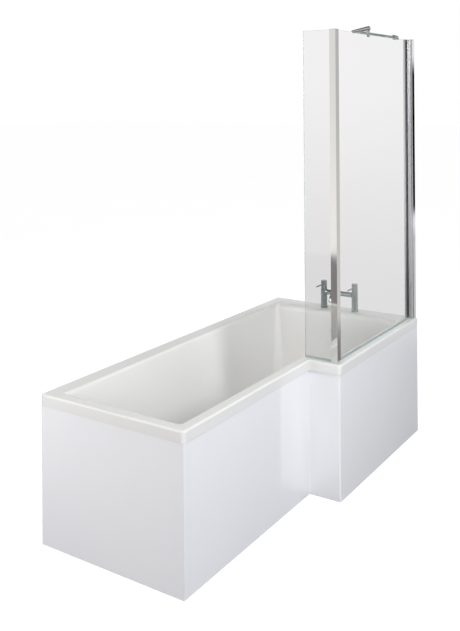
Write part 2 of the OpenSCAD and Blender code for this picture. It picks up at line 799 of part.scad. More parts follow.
// A quarter-turn cartridge seated in its pillar
module valve(side) {
    color("darkgoldenrod") translate([tap_x, side * tap_gap_w / 2, rim_h + pillar_h]) difference() {
        union() {
            translate([0, 0, -valve_depth]) cylinder(h = valve_depth, r = valve_r - run_gap, $fn = round_fn);
            cylinder(h = neck_h, r = neck_r, $fn = round_fn);
        }
        translate([0, 0, neck_h - spindle_l]) cylinder(h = spindle_l + eps, r = spindle_r + run_gap, $fn = round_fn);
        translate([0, 0, -valve_depth - eps]) cylinder(h = valve_depth + neck_h - spindle_l - 2 + eps,
            r = valve_port_r + 2, $fn = round_fn);
        translate([0, 0, crossbar_z - pillar_h - 6]) rotate([side * 90, 0, 0])
            cylinder(h = valve_r + eps, r = valve_port_r, $fn = round_fn);
    }
}

module hot_valve() { valve(1); }
module cold_valve() { valve(-1); }

// A cartridge's spindle, up into the handle's socket
module spindle(side) {
    color("darkgoldenrod") translate([tap_x, side * tap_gap_w / 2, rim_h + pillar_h + neck_h - spindle_l + 1])
        cylinder(h = spindle_l + 9, r = spindle_r, $fn = round_fn);
}

module hot_spindle() { spindle(1); }
module cold_spindle() { spindle(-1); }

// A turning cap with the hole for its pin lever
module handle(side) {
    skirt = neck_h + 2;
    color(chrome) translate([tap_x, side * tap_gap_w / 2, handle_z]) difference() {
        rotate_extrude($fn = round_fn)
            polygon([[0, 0], [handle_r, 0], [handle_r, handle_h - 2], [handle_r - 2, handle_h], [0, handle_h]]);
        translate([0, 0, -eps]) cylinder(h = skirt + eps, r = neck_r + 1.5, $fn = round_fn);
        translate([0, 0, -eps]) cylinder(h = neck_h + 11 + eps, r = spindle_r + run_gap, $fn = round_fn);
        translate([-handle_r + lever_grip, 0, lever_z - handle_z]) rotate([0, -90, 0])
            cylinder(h = handle_r, r = lever_r + run_gap, $fn = round_fn);
    }
}

module hot_handle() { handle(1); }
module cold_handle() { handle(-1); }

// A pin lever with its round tip, screwed into the cap
module lever(side) {
    run = lever_reach - lever_r - (handle_r - lever_grip);
    color(chrome) translate([tap_x - handle_r + lever_grip, side * tap_gap_w / 2, lever_z]) rotate([0, -90, 0]) {
        cylinder(h = run, r = lever_r, $fn = round_fn);
        translate([0, 0, run]) sphere(lever_r, $fn = round_fn);
    }
}

module hot_lever() { lever(1); }
module cold_lever() { lever(-1); }

module deck_washers() {
    color(black_rubber) for (side = [-1, 1]) translate([tap_x, side * tap_gap_w / 2, rim_h]) difference() {
        cylinder(h = washer_t, r = base_r, $fn = round_fn);
        translate([0, 0, -eps]) cylinder(h = washer_t + 2 * eps, r = tail_r + seat_gap, $fn = round_fn);
    }
}

module backnuts() {
    color("darkgoldenrod") for (side = [-1, 1])
        translate([tap_x, side * tap_gap_w / 2, rim_h - shell_t - backnut_h])
            nut(backnut_af, backnut_h, tail_r + run_gap);
}

module wall_channel() {
    h = screen_top - cap_t - rim_h;
    holes = [channel_hole_end, channel_hole_inner, h - channel_hole_inner, h - channel_hole_end];
    color(chrome) translate([x_tap - channel_d, screen_y - channel_w / 2, rim_h]) difference() {
        cube([channel_d, channel_w, h]);
        translate([-eps, 2, -eps]) cube([channel_d - 2 + eps, channel_w - 4, h + 2 * eps]);
        for (z = holes) translate([channel_d - 2 - eps, channel_w / 2, z]) rotate([0, 90, 0])
            cylinder(h = 2 + 2 * eps, r = channel_hole_r, $fn = round_fn);
    }
}

module glass_profile() {
    h = screen_top - cap_t - rim_h;
    half = profile_w / 2;
    color(chrome) translate([profile_x, screen_y, rim_h]) linear_extrude(h) difference() {
        translate([0, -half]) square([profile_d, profile_w]);
        translate([profile_t, -half + profile_t]) square([profile_d - 2 * profile_t, profile_w - 2 * profile_t]);
        translate([-eps, mouth_y0]) square([profile_t + 2 * eps, mouth_y1 - mouth_y0]);
    }
}

module wall_gasket() {
    color(black_rubber) translate([profile_x - gasket_show, screen_y, glass_z])
        linear_extrude(glass_top - glass_z) {
            translate([0, mouth_y0 + run_gap]) square([gasket_show + gasket_in, strip_t - run_gap]);
            translate([0, mouth_y1 - wedge_t]) square([gasket_show + gasket_in, wedge_t - run_gap]);
        }
}

module main_glass() {
    color(clear_glass) translate([main_x0, screen_y - glass_t / 2, glass_z])
        cube([main_x1 - main_x0, glass_t, glass_top - glass_z]);
}

module corner_post() {
    inner = post_s - 2 * post_t;
    color(chrome) translate([return_x, screen_y, rim_h]) linear_extrude(glass_top - rim_h) difference() {
        union() {
            difference() {
                square(post_s, center = true);
                square(inner, center = true);
            }
            for (turn = [0, 90]) rotate(turn) glazing_pocket(post_t, 0);
        }
        for (turn = [0, 90]) rotate(turn) glazing_pocket(0, eps);
    }
}

// A pane's pocket in the post's +X side, with walls of the given thickness, and past the side's face
module glazing_pocket(wall, past) {
    depth = bite + seat_gap;
    translate([post_s / 2 - depth - wall, -slot_w / 2 - wall]) square([depth + wall + past, slot_w + 2 * wall]);
}

module return_glass() {
    color(clear_glass) translate([return_x - glass_t / 2, return_y0, glass_z])
        cube([glass_t, return_y1 - return_y0, glass_top - glass_z]);
}

// A seal's section: two fins up the glass and a foot on the rim
module seal_section() {
    difference() {
        translate([-seal_w / 2, 0]) square([seal_w, seal_h]);
        translate([-glass_t / 2 - run_gap, glass_z - rim_h]) square([glass_t + 2 * run_gap, seal_h]);
    }
}

module main_seal() {
    x0 = return_x + post_s / 2 + seat_gap;
    color(seal_grey) translate([x0, screen_y, rim_h]) rotate([90, 0, 90])
        linear_extrude(profile_x - gasket_show - seat_gap - x0) seal_section();
}

module return_seal() {
    y0 = screen_y + post_s / 2 + seat_gap;
    color(seal_grey) translate([return_x, return_y1, rim_h]) rotate([90, 0, 0])
        linear_extrude(return_y1 - y0) seal_section();
}

module profile_caps() {
    color(chrome) {
        translate([return_x - post_s / 2, screen_y - post_s / 2, screen_top - cap_t]) cube([post_s, post_s, cap_t]);
        translate([x_tap - channel_d, screen_y - channel_w / 2, screen_top - cap_t]) cube([channel_d, channel_w, cap_t]);
    }
}

module arm_wall_plate() {
    color(steel) translate([x_tap, arm_y, arm_z]) rotate([0, -90, 0]) difference() {
        cylinder(h = plate_l, r = cup_r - 3, $fn = round_fn);
        translate([0, 0, -eps]) cylinder(h = plate_l + 2 * eps, r = channel_hole_r, $fn = round_fn);
    }
}

module arm_flange() {
    color(chrome) translate([x_tap, arm_y, arm_z]) rotate([0, -90, 0]) difference() {
        rotate_extrude($fn = round_fn)
            polygon([[0, 0], [cup_r, 0], [cup_r, cup_l - 3], [cup_r - 3, cup_l], [0, cup_l]]);
        translate([0, 0, -eps]) cylinder(h = plate_l + eps, r = cup_r - 3 + run_gap, $fn = round_fn);
        translate([0, 0, plate_l - eps]) cylinder(h = cup_l, r = arm_r + run_gap, $fn = round_fn);
    }
}

module arm_rod() {
    color(chrome) translate([clamp_x, arm_y, arm_z]) rotate([0, 90, 0]) {
        translate([0, 0, eye_r + 1]) cylinder(h = arm_l - eye_r - 1 - plate_l - seat_gap, r = arm_r, $fn = round_fn);
        translate([0, 0, -eye_r]) cylinder(h = 2 * eye_r + 2, r = pin_r, $fn = round_fn);
    }
}

// The clamp's head is a cone from its eye on the rod to its round end over the pane
module glass_clamp() {
    eye_flat = eye_r + 0.5;
    color(chrome) difference() {
        union() {
            translate([clamp_x, arm_y, arm_z]) rotate([90 - head_tilt, 0, 0]) translate([0, 0, -eye_r])
                cylinder(h = head_run / cos(head_tilt), r1 = eye_r, r2 = clamp_head_r, $fn = round_fn);
            translate([clamp_x, screen_y, glass_top - jaw_bite])
                cylinder(h = jaw_bite + arm_rise + head_lift / 2, r = jaw_r, $fn = round_fn);
        }
        translate([clamp_x - jaw_r - eps, screen_y - slot_w / 2, glass_top - jaw_bite - eps])
            cube([2 * jaw_r + 2 * eps, slot_w, jaw_bite + eps + seat_gap]);
        translate([clamp_x - 2 * eye_r, arm_y, arm_z]) rotate([0, 90, 0])
            cylinder(h = 4 * eye_r, r = pin_r + run_gap, $fn = round_fn);
        translate([clamp_x + eye_flat, arm_y - eye_r - 2, arm_z - 2 * eye_r]) cube([eye_r, 2 * eye_r + 4, 4 * eye_r]);
        translate([clamp_x, screen_y, glass_top - jaw_bite / 2]) rotate([90, 0, 0])
            cylinder(h = jaw_r + eps, r = 2 + run_gap, $fn = round_fn);
    }
}

module clamp_screw() {
    color(steel) translate([clamp_x, screen_y - glass_t / 2 - 0.1, glass_top - jaw_bite / 2]) rotate([90, 0, 0])
        cylinder(h = 4.5, r = 2, $fn = round_fn);
}

tub_shell();
base_board();
rim_batten_back();
rim_batten_near();
rim_batten_tap();
rim_batten_narrow();
rim_batten_wide();
leg_bar_near();
leg_bar_middle();
leg_bar_tap();
bar_screws();
foot_near_front();
foot_near_back();
foot_middle_front();
foot_middle_back();
foot_tap_front();
foot_tap_back();
lock_nuts();
front_panel();
end_panel();
panel_clips();
floor_batten_end();
floor_batten_narrow();
floor_batten_wide();
wall_brackets();
waste_flange();
waste_washer();
waste_body();
waste_plug();
overflow_cover();
overflow_washer();
overflow_elbow();
overflow_pipe();
filler_body();
spout();
aerator();
hot_valve();
cold_valve();
hot_spindle();
cold_spindle();
hot_handle();
cold_handle();
hot_lever();
cold_lever();
deck_washers();
backnuts();
wall_channel();
glass_profile();
wall_gasket();
main_glass();
corner_post();
return_glass();
main_seal();
return_seal();
profile_caps();
arm_wall_plate();
arm_flange();
arm_rod();
glass_clamp();
clamp_screw();
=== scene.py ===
# %% [markdown]
# Square shower bath
#
# A white acrylic bath with an L-shaped rim, glossy panels, a glass screen of two panes on a square chrome
# post, a stabiliser arm and a pin-lever bath filler. The solids come from the part's own CAD model, which
# is the frame for everything here: each piece is put where the frame says, at the size that the frame has.
# Sizes are written in millimetres, as a fitter would give them, and turned into metres as a mesh is made.

# %% Load the frame
import math

import bmesh
import bpy
from mathutils import Matrix, Vector


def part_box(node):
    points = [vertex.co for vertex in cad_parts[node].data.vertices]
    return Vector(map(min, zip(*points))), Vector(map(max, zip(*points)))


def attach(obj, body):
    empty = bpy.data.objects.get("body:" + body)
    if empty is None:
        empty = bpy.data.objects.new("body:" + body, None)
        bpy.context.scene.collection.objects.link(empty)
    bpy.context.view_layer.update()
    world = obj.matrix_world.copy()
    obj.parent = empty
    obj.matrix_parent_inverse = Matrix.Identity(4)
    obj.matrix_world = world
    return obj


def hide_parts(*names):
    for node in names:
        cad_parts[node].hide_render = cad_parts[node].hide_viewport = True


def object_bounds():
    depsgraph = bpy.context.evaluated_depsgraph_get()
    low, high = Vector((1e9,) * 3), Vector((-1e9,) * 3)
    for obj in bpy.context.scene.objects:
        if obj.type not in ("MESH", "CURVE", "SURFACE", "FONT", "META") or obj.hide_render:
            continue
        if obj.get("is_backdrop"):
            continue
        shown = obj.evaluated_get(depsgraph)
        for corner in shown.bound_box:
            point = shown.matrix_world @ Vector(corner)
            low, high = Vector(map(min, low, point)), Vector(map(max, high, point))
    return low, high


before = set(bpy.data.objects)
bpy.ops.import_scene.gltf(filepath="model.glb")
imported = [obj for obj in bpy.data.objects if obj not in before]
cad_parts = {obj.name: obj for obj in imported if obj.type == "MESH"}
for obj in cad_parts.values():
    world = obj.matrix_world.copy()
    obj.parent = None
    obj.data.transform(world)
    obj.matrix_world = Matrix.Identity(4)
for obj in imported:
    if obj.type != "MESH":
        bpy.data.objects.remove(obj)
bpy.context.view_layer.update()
MM = 0.001

# %% [markdown]
# The camera comes first, because it decides what is seen large. The photograph was taken from the near end
# at about eye height, with a level lens, so all uprights stay upright and the view is shifted down instead
# of tilted. A shifted lens gives the same result here. Its place, turn and focal length were worked out
# from points of the bath, the screen and the filler in the photograph, and from the usual length of such
# a bath.

# %% Camera
PHOTO_W, PHOTO_H = 460, 631
FOCAL_PX = 799.9
CENTRE_PX = (299.35, 96.84)
CAMERA_MM = (-2970.0, -2008.1, 1713.7)
YAW, PITCH, ROLL = math.radians(30.844), math.radians(-0.033), math.radians(-0.407)
SENSOR = 36.0

ahead = Vector((math.cos(YAW) * math.cos(PITCH), math.sin(YAW) * math.cos(PITCH), math.sin(PITCH)))
level_right = Vector((math.sin(YAW), -math.cos(YAW), 0.0))
level_up = level_right.cross(ahead)
right = level_right * math.cos(ROLL) + level_up * math.sin(ROLL)
up = -level_right * math.sin(ROLL) + level_up * math.cos(ROLL)

lens = bpy.data.cameras.new("photo_camera")
lens.sensor_width = SENSOR
lens.lens = FOCAL_PX / PHOTO_H * SENSOR
lens.shift_x = (PHOTO_W / 2 - CENTRE_PX[0]) / PHOTO_H
lens.shift_y = (CENTRE_PX[1] - PHOTO_H / 2) / PHOTO_H
camera = bpy.data.objects.new("photo_camera", lens)
bpy.context.collection.objects.link(camera)
axes = Matrix((right, up, -ahead)).transposed().to_4x4()
camera.matrix_world = Matrix.Translation(Vector(CAMERA_MM) * MM) @ axes
bpy.context.scene.camera = camera
print("lens %.2f mm, shift %.3f, %.3f" % (lens.lens, lens.shift_x, lens.shift_y))

# %% [markdown]
# Sanitary ware is judged by its surfaces, so each material gets what its real one shows. A vacuum-formed
# acrylic sheet is smooth and glossy, but never quite flat: it carries long, very shallow waves that bend
# reflections. A noise bump about 40 cm wide does that. Plated metal has fine differences in its polish, raw
# wood has grain, and zinc has spangles. All patterns read Object coordinates, which are metres in the frame.

# %% Helpers for materials
def surface(name, color, roughness, **sockets):
    """A material with one Principled shader, and its constants set on the shader's own sockets."""
    made = bpy.data.materials.new(name)
    made.use_nodes = True
    shader = made.node_tree.nodes["Principled BSDF"]
    shader.inputs["Base Color"].default_value = (*color, 1.0)
    shader.inputs["Roughness"].default_value = roughness
    for socket, value in sockets.items():
        shader.inputs[socket.replace("_", " ")].default_value = value
    return made


def pattern(made, kind, stretch=(1, 1, 1), turn=(0, 0, 0), **values):
    """A texture node of that kind on Object coordinates, stretched and turned by a Mapping node."""
    nodes, links = made.node_tree.nodes, made.node_tree.links
    place = nodes.new("ShaderNodeTexCoord")
    mapping = nodes.new("ShaderNodeMapping")
    mapping.inputs["Scale"].default_value = stretch
    mapping.inputs["Rotation"].default_value = turn
    texture = nodes.new(kind)
    for socket, value in values.items():
        texture.inputs[socket.replace("_", " ")].default_value = value
    links.new(place.outputs["Object"], mapping.inputs["Vector"])
    links.new(mapping.outputs["Vector"], texture.inputs["Vector"])
    return texture


def bump(made, texture, output, strength, depth_mm):
    """Raises the surface by a texture, after any bump that it already has."""
    nodes, links = made.node_tree.nodes, made.node_tree.links
    shader = nodes["Principled BSDF"]
    node = nodes.new("ShaderNodeBump")
    node.inputs["Strength"].default_value = strength
    node.inputs["Distance"].default_value = depth_mm * MM
    links.new(texture.outputs[output], node.inputs["Height"])
    if shader.inputs["Normal"].links:
        links.new(shader.inputs["Normal"].links[0].from_socket, node.inputs["Normal"])
    links.new(node.outputs["Normal"], shader.inputs["Normal"])


def blend_colors(made, texture, output, colors, edges=(0.3, 0.7)):
    """Colours the surface by a texture, from the first colour to the last."""
    nodes, links = made.node_tree.nodes, made.node_tree.links
    ramp = nodes.new("ShaderNodeValToRGB")
    ends = ramp.color_ramp.elements
    ends[0].position, ends[1].position = edges
    ends[0].color, ends[1].color = (*colors[0], 1), (*colors[-1], 1)
    for k, color in enumerate(colors[1:-1], 1):
        between = ends.new(edges[0] + (edges[1] - edges[0]) * k / (len(colors) - 1))
        between.color = (*color, 1)
    links.new(texture.outputs[output], ramp.inputs["Fac"])
    links.new(ramp.outputs["Color"], nodes["Principled BSDF"].inputs["Base Color"])


def vary_roughness(made, texture, output, low, high):
    """Lets the polish differ over the surface between two roughnesses."""
    nodes, links = made.node_tree.nodes, made.node_tree.links
    spread = nodes.new("ShaderNodeMapRange")
    spread.inputs["From Min"].default_value = 0.3
    spread.inputs["From Max"].default_value = 0.7
    spread.inputs["To Min"].default_value = low
    spread.inputs["To Max"].default_value = high
    links.new(texture.outputs[output], spread.inputs["Value"])
    links.new(spread.outputs["Result"], nodes["Principled BSDF"].inputs["Roughness"])


def list_finishes(title, *finishes):
    """Prints the names of finishes that were made."""
    print(title + ":", ", ".join(made.name for made in finishes))


# %% Acrylic, panels and fibreglass
def glossy_acrylic(name, color, shade, waves):
    """Formed acrylic sheet: clear gloss, long shallow waves and a trace of unevenness in its white."""
    made = surface(name, color, 0.09, Coat_Weight=0.5, Coat_Roughness=0.03, IOR=1.49)
    wide = pattern(made, "ShaderNodeTexNoise", Scale=waves, Detail=1.0)
    blend_colors(made, wide, "Fac", [shade, color])
    vary_roughness(made, wide, "Fac", 0.07, 0.12)
    bump(made, wide, "Fac", 0.25, 3.0)
    return made


acrylic = glossy_acrylic("white_acrylic", (0.80, 0.797, 0.785), (0.79, 0.787, 0.775), 2.5)
panel_acrylic = glossy_acrylic("panel_acrylic", (0.865, 0.87, 0.89), (0.855, 0.86, 0.885), 3.0)

fibreglass = surface("fibreglass_backing", (0.72, 0.70, 0.62), 0.55)
strands = pattern(fibreglass, "ShaderNodeTexNoise", stretch=(1, 0.15, 1), turn=(0.3, 0.2, 0.7),
                  Scale=180.0, Detail=6.0)
blend_colors(fibreglass, strands, "Fac", [(0.62, 0.60, 0.52), (0.78, 0.76, 0.69)])
bump(fibreglass, strands, "Fac", 0.8, 1.0)
list_finishes("sheet", acrylic, panel_acrylic, fibreglass)

# %% Metals
def plated(name, color, low, high):
    """Bright plating with small differences in its polish."""
    made = surface(name, color, low, Metallic=1.0)
    cloud = pattern(made, "ShaderNodeTexNoise", Scale=35.0, Detail=3.0)
    vary_roughness(made, cloud, "Fac", low, high)
    bump(made, cloud, "Fac", 0.03, 0.1)
    return made


chrome = plated("bright_chrome", (0.76, 0.745, 0.725), 0.03, 0.08)
# Painted shade: a dark teal-grey copy of bright chrome, standing in for the dark surroundings that the
# filler, handles, levers and arm rod mirror.
painted_shade_chrome = plated("painted_shade_chrome", (0.31, 0.355, 0.35), 0.05, 0.12)
# Painted shade: a darker grey copy of bright chrome for the arm's cup and clamp head.
arm_painted_shade_chrome = plated("arm_painted_shade_chrome", (0.44, 0.455, 0.45), 0.04, 0.08)
channel_chrome = plated("bright_channel", (0.70, 0.70, 0.72), 0.03, 0.06)
satin_profile = plated("satin_profile", (0.62, 0.62, 0.64), 0.18, 0.26)
brass = plated("machined_brass", (0.72, 0.52, 0.25), 0.22, 0.35)
zinc = surface("zinc_plate", (0.55, 0.57, 0.60), 0.4, Metallic=0.85)
spangle = pattern(zinc, "ShaderNodeTexVoronoi", Scale=140.0)
blend_colors(zinc, spangle, "Distance", [(0.48, 0.50, 0.53), (0.66, 0.68, 0.70)], (0.1, 0.8))
bump(zinc, spangle, "Distance", 0.15, 0.2)
list_finishes("metals", chrome, painted_shade_chrome, arm_painted_shade_chrome, channel_chrome, satin_profile, brass, zinc)

# %% Wood, rubber and moulded plastic
def softwood(name, along_y):
    """Planed batten with its grain along X, or along Y."""
    made = surface(name, (0.66, 0.47, 0.27), 0.55)
    turn = (0, 0, math.pi / 2 if along_y else 0)
    grain = pattern(made, "ShaderNodeTexNoise", stretch=(1.5, 45, 45), turn=turn, Scale=3.0, Detail=6.0)
    blend_colors(made, grain, "Fac", [(0.52, 0.33, 0.16), (0.70, 0.50, 0.29), (0.78, 0.60, 0.38)])
    bump(made, grain, "Fac", 0.35, 0.4)
    return made


def moulded(name, color, roughness, grain=900.0):
    """Moulded plastic or rubber with a fine even skin."""
    made = surface(name, color, roughness)
    skin = pattern(made, "ShaderNodeTexNoise", Scale=grain, Detail=2.0)
    vary_roughness(made, skin, "Fac", roughness * 0.85, min(1.0, roughness * 1.15))
    bump(made, skin, "Fac", 0.15, 0.1)
    return made


batten_along_x = softwood("batten_along_x", False)
batten_along_y = softwood("batten_along_y", True)
chipboard = surface("chipboard", (0.58, 0.43, 0.26), 0.8)
chips = pattern(chipboard, "ShaderNodeTexVoronoi", stretch=(1, 0.45, 1), Scale=160.0, Randomness=1.0)
chip_colors = [(0.38, 0.25, 0.13), (0.62, 0.45, 0.26), (0.75, 0.60, 0.40)]
blend_colors(chipboard, chips, "Color", chip_colors, (0.15, 0.85))
bump(chipboard, chips, "Distance", 0.5, 0.8)
black_plastic = moulded("foot_plastic", (0.03, 0.03, 0.033), 0.45)
white_plastic = moulded("waste_plastic", (0.72, 0.72, 0.70), 0.4)
black_rubber = moulded("gasket_rubber", (0.016, 0.016, 0.02), 0.5)
seal_rubber = moulded("seal_rubber", (0.36, 0.42, 0.41), 0.35)
list_finishes("wood", batten_along_x, batten_along_y, chipboard)
list_finishes("moulded", black_plastic, white_plastic, black_rubber, seal_rubber)

# %% [markdown]
# Clear toughened glass is made as plain glass with real thickness, so light bends in and out of it. Its
# iron makes it faintly green. The ground edges are rougher and look greener, because one looks along the
# sheet there, so they get a finish of their own. The return pane's glass is a shade darker than the main
# pane's: painted shade, which makes the two panes look alike from the camera's side.

# %% Glass
def clear_glass(name, color, low, high):
    """Glass with a faint unevenness of polish."""
    made = surface(name, color, low, Transmission_Weight=1.0, IOR=1.5)
    cloud = pattern(made, "ShaderNodeTexNoise", Scale=4.0, Detail=2.0)
    vary_roughness(made, cloud, "Fac", low, high)
    return made


glass = clear_glass("clear_glass", (0.95, 0.96, 0.955), 0.0, 0.004)
# Painted shade: the same glass as the main pane, tinted darker.
return_shaded_glass = clear_glass("return_glass", (0.91, 0.92, 0.915), 0.0, 0.004)
ground_edge = clear_glass("ground_glass_edge", (0.45, 0.62, 0.58), 0.2, 0.3)
print("materials:", len(bpy.data.materials), "with those of the frame")

# %% [markdown]
# Three small tools make most meshes here. A corner of a path is rounded by an arc, a profile is turned on
# an axis as on a lathe, and a closed shape is added to or cut from another with an exact boolean. All of
# them work in millimetres.

# %% Rounded paths and rings
def arc_points(centre, start, end, steps):
    """Points on the arc round a centre from one point to another."""
    first, last = start - centre, end - centre
    sweep = first.angle(last)
    points = []
    for k in range(steps + 1):
        share = k / steps
        spoke = first * math.sin((1 - share) * sweep) + last * math.sin(share * sweep)
        points.append(centre + spoke / math.sin(sweep))
    return points


def rounded(corners, closed=False, steps=4):
    """A path through corners (x, y, radius), each rounded by an arc of its radius."""
    path = []
    for k, (x, y, radius) in enumerate(corners):
        here = Vector((x, y))
        if radius == 0 or (not closed and k in (0, len(corners) - 1)):
            path.append(here)
            continue
        back = (Vector(corners[k - 1][:2]) - here).normalized()
        on = (Vector(corners[(k + 1) % len(corners)][:2]) - here).normalized()
        half = back.angle(on) / 2
        centre = here + (back + on).normalized() * radius / math.sin(half)
        reach = radius / math.tan(half)
        path += arc_points(centre, here + back * reach, here + on * reach, steps)
    return path


def bridge(shape, rings, loop=False):
    """Joins rings of equal length, or single points, by faces."""
    pairs = list(zip(rings, rings[1:])) + ([(rings[-1], rings[0])] if loop else [])
    faces = []
    for low, high in pairs:
        count = max(len(low), len(high))
        for k in range(count):
            on = k + 1
            quad = [low[k % len(low)], low[on % len(low)], high[on % len(high)], high[k % len(high)]]
            corners = list(dict.fromkeys(quad))
            if len(corners) > 2:
                faces.append(shape.faces.new(corners))
    return faces


# %% Turned and drawn shapes
ON_AXIS = 1e-4


def turned(profile, place=Matrix(), loop=False, facets=64):
    """A lathe: turns a profile of (radius, height) points about the Z axis of its place."""
    shape = bmesh.new()
    rings = []
    for radius, height in profile:
        ring = []
        for k in range(1 if radius < ON_AXIS else facets):
            angle = 2 * math.pi * k / facets
            spot = Vector((radius * math.cos(angle), radius * math.sin(angle), height))
            ring.append(shape.verts.new(place @ spot))
        rings.append(ring)
    bridge(shape, rings, loop)
    bmesh.ops.recalc_face_normals(shape, faces=shape.faces)
    return shape


def drawn(outline, low, high, place=Matrix()):
    """Draws a closed outline of (x, y) points up from one height to another."""
    shape = bmesh.new()
    rings = [[shape.verts.new(place @ Vector((x, y, z))) for x, y in outline] for z in (low, high)]
    bridge(shape, rings)
    for ring in rings:
        shape.faces.new(ring)
    bmesh.ops.recalc_face_normals(shape, faces=shape.faces)
    return shape


def block(low, high):
    """A block between two corners."""
    outline = [(low[0], low[1]), (high[0], low[1]), (high[0], high[1]), (low[0], high[1])]
    return drawn(outline, low[2], high[2])


# %% Booleans and bevels
MERGE = 0.001
FLAT = math.radians(1)


def as_mesh(shape, name="shape"):
    """Writes a shape to a mesh and frees the shape."""
    mesh = bpy.data.meshes.new(name)
    shape.to_mesh(mesh)
    shape.free()
    return mesh


def plain_mesh(thing):
    """The mesh that an object with modifiers makes. The object itself is removed."""
    graph = bpy.context.evaluated_depsgraph_get()
    mesh = bpy.data.meshes.new_from_object(thing.evaluated_get(graph), depsgraph=graph)
    bpy.data.objects.remove(thing)
    return mesh


def link(data, name="shape"):
    """An object in the scene that holds a mesh or a curve."""
    thing = bpy.data.objects.new(name, data)
    bpy.context.collection.objects.link(thing)
    return thing


def joined(base, *steps):
    """Adds shapes to a base, or cuts it with them: each step is (the boolean's operation, shape)."""
    for operation, tool in steps:
        thing, cutter = link(as_mesh(base)), link(as_mesh(tool))
        boolean = thing.modifiers.new("boolean", "BOOLEAN")
        boolean.operation, boolean.object, boolean.solver = operation, cutter, "EXACT"
        mesh = plain_mesh(thing)
        bpy.data.objects.remove(cutter)
        base = bmesh.new()
        base.from_mesh(mesh)
    return base


def softened(shape, width, angle=30):
    """Clears doubled points and flat edges, and breaks the sharp edges by a small bevel."""
    bmesh.ops.remove_doubles(shape, verts=shape.verts, dist=MERGE)
    bmesh.ops.dissolve_limit(shape, angle_limit=FLAT, verts=shape.verts, edges=shape.edges)
    limit = math.radians(angle)
    sharp = [e for e in shape.edges if len(e.link_faces) == 2 and e.calc_face_angle() > limit]
    bmesh.ops.bevel(shape, geom=sharp, offset=width, segments=2, profile=0.6, affect="EDGES",
                    clamp_overlap=True)
    return shape


def together(*shapes):
    """Several separate shapes as one."""
    whole = bmesh.new()
    for shape in shapes:
        mesh = as_mesh(shape)
        whole.from_mesh(mesh)
        bpy.data.meshes.remove(mesh)
    return whole


# %% [markdown]
# A finished shape becomes a piece in one step: its faces are smoothed up to its sharp edges, it is brought
# to metres, it is told which body it rides on, and the CAD nodes that it stands for are hidden. Plain pieces
# are the CAD node's own shape with its edges broken.

# %% Pieces on the frame
SHARP = math.radians(32)
PIECES = []


def piece(name, shape, materials, slot, *nodes, body="bath"):
    """Turns a shape in millimetres into a piece that stands for those CAD nodes."""
    for face in shape.faces:
        face.smooth = True
    for edge in shape.edges:
        edge.smooth = not (len(edge.link_faces) == 2 and edge.calc_face_angle() > SHARP)
    mesh = as_mesh(shape, name)
    mesh.transform(Matrix.Scale(MM, 4))
    for made in materials if isinstance(materials, list) else [materials]:
        mesh.materials.append(made)
    thing = link(mesh, name)
    even = thing.modifiers.new("even_normals", "WEIGHTED_NORMAL")
    even.keep_sharp = True
    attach(thing, body)
    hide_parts(*nodes)
    PIECES.append(thing)


def cad_shape(node):
    """A copy of a CAD node's mesh in millimetres."""
    shape = bmesh.new()
    shape.from_mesh(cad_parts[node].data)
    bmesh.ops.scale(shape, vec=Vector((1, 1, 1)) / MM, verts=shape.verts)
    return shape


def mm_box(node):
    """The lowest and highest corner of a CAD node in millimetres."""
    low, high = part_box(node)
    return Vector(low) / MM, Vector(high) / MM


def dressed(node, materials, slot, width, body="bath"):
    """A CAD node's own shape with its edges broken, for plain made pieces."""
    piece(node + "_dressed", softened(cad_shape(node), width), materials, slot, node, body=body)


def tell(title, count):
    """Prints the last pieces that were made, each with its number of faces."""
    print(title + ":", ", ".join("%s %d" % (made.name, len(made.data.polygons)) for made in PIECES[-count:]))


# %% [markdown]
# The bath itself is one sheet of acrylic, drawn down into a mould by vacuum. So it has one thickness, no
# sharp edge anywhere, and walls that lean outwards. It could be cut from a block with booleans, but a sheet
# is better made as rings. Every ring is the same L-shaped outline with its own place for each side and its
# own corner radius. The rings run up the lip, over the rim, down the walls and round the knee to the floor,
# and a second set, one thickness behind, makes the rough backing.

# %% Sizes of the bath
rim_low, rim_high = mm_box("tub_shell")
RIM_Z = rim_high.z
LIP_H, LIP_EDGE = 45, 1.2
LIP_Z = RIM_Z - LIP_H
NARROW_W, WIDE_L = 700, 850
SHEET = 5
WELL_DEPTH = 400
FLOOR_Z = RIM_Z - WELL_DEPTH
RIM_WIDTHS = {"near": 45, "narrow": 50, "wide": 66, "step": 60, "back": 80, "tap": 130}
RUNS = {"near": 260, "narrow": 42, "wide": 42, "step": 42, "back": 42, "tap": 67}
EDGES = {"near": rim_low.x, "tap": rim_high.x, "back": rim_high.y, "wide": rim_low.y,
         "narrow": rim_high.y - NARROW_W, "step": rim_high.x - WIDE_L}
RIM_CORNER, STEP_CORNER, LEAST_CORNER = 14, 3, 2
RIM_ROUND = 8
WELL_ROUNDS = {"near": 12, "narrow": 9, "wide": 9, "step": 9, "back": 12, "tap": 28}
KNEE_ROUND = 60
WELL_CORNER, FLOOR_CORNER = 16, 55
WELL_STEP_CORNER, FLOOR_STEP_CORNER = 26, 38
ARC_STEPS = 8
ROUND_ANGLES = range(0, 91, 15)
KNEE_ANGLES = [*range(85, 7, -8), 0]
WALL_SHARES = (0.15, 0.35, 0.55, 0.75)
print("bath: %.0f x %.0f mm, rim at %.0f mm" % (*(rim_high - rim_low)[:2], RIM_Z))

# Each corner of the outline: its two sides, the way in, the way out. One corner turns the other way.
INNER = 1
CORNERS = [("near", "narrow", (0, -1), (1, 0)), ("step", "narrow", (1, 0), (0, -1)),
           ("step", "wide", (0, -1), (1, 0)), ("tap", "wide", (1, 0), (0, 1)),
           ("tap", "back", (0, 1), (-1, 0)), ("near", "back", (-1, 0), (0, -1))]


def slope(side):
    """How far a side's wall leans from upright, in radians."""
    return math.atan(RUNS[side] / WELL_DEPTH)


def tangent(side, radius):
    """How far a round of that radius reaches along the flat beside a sloping wall."""
    return radius * math.tan((math.pi / 2 - slope(side)) / 2)


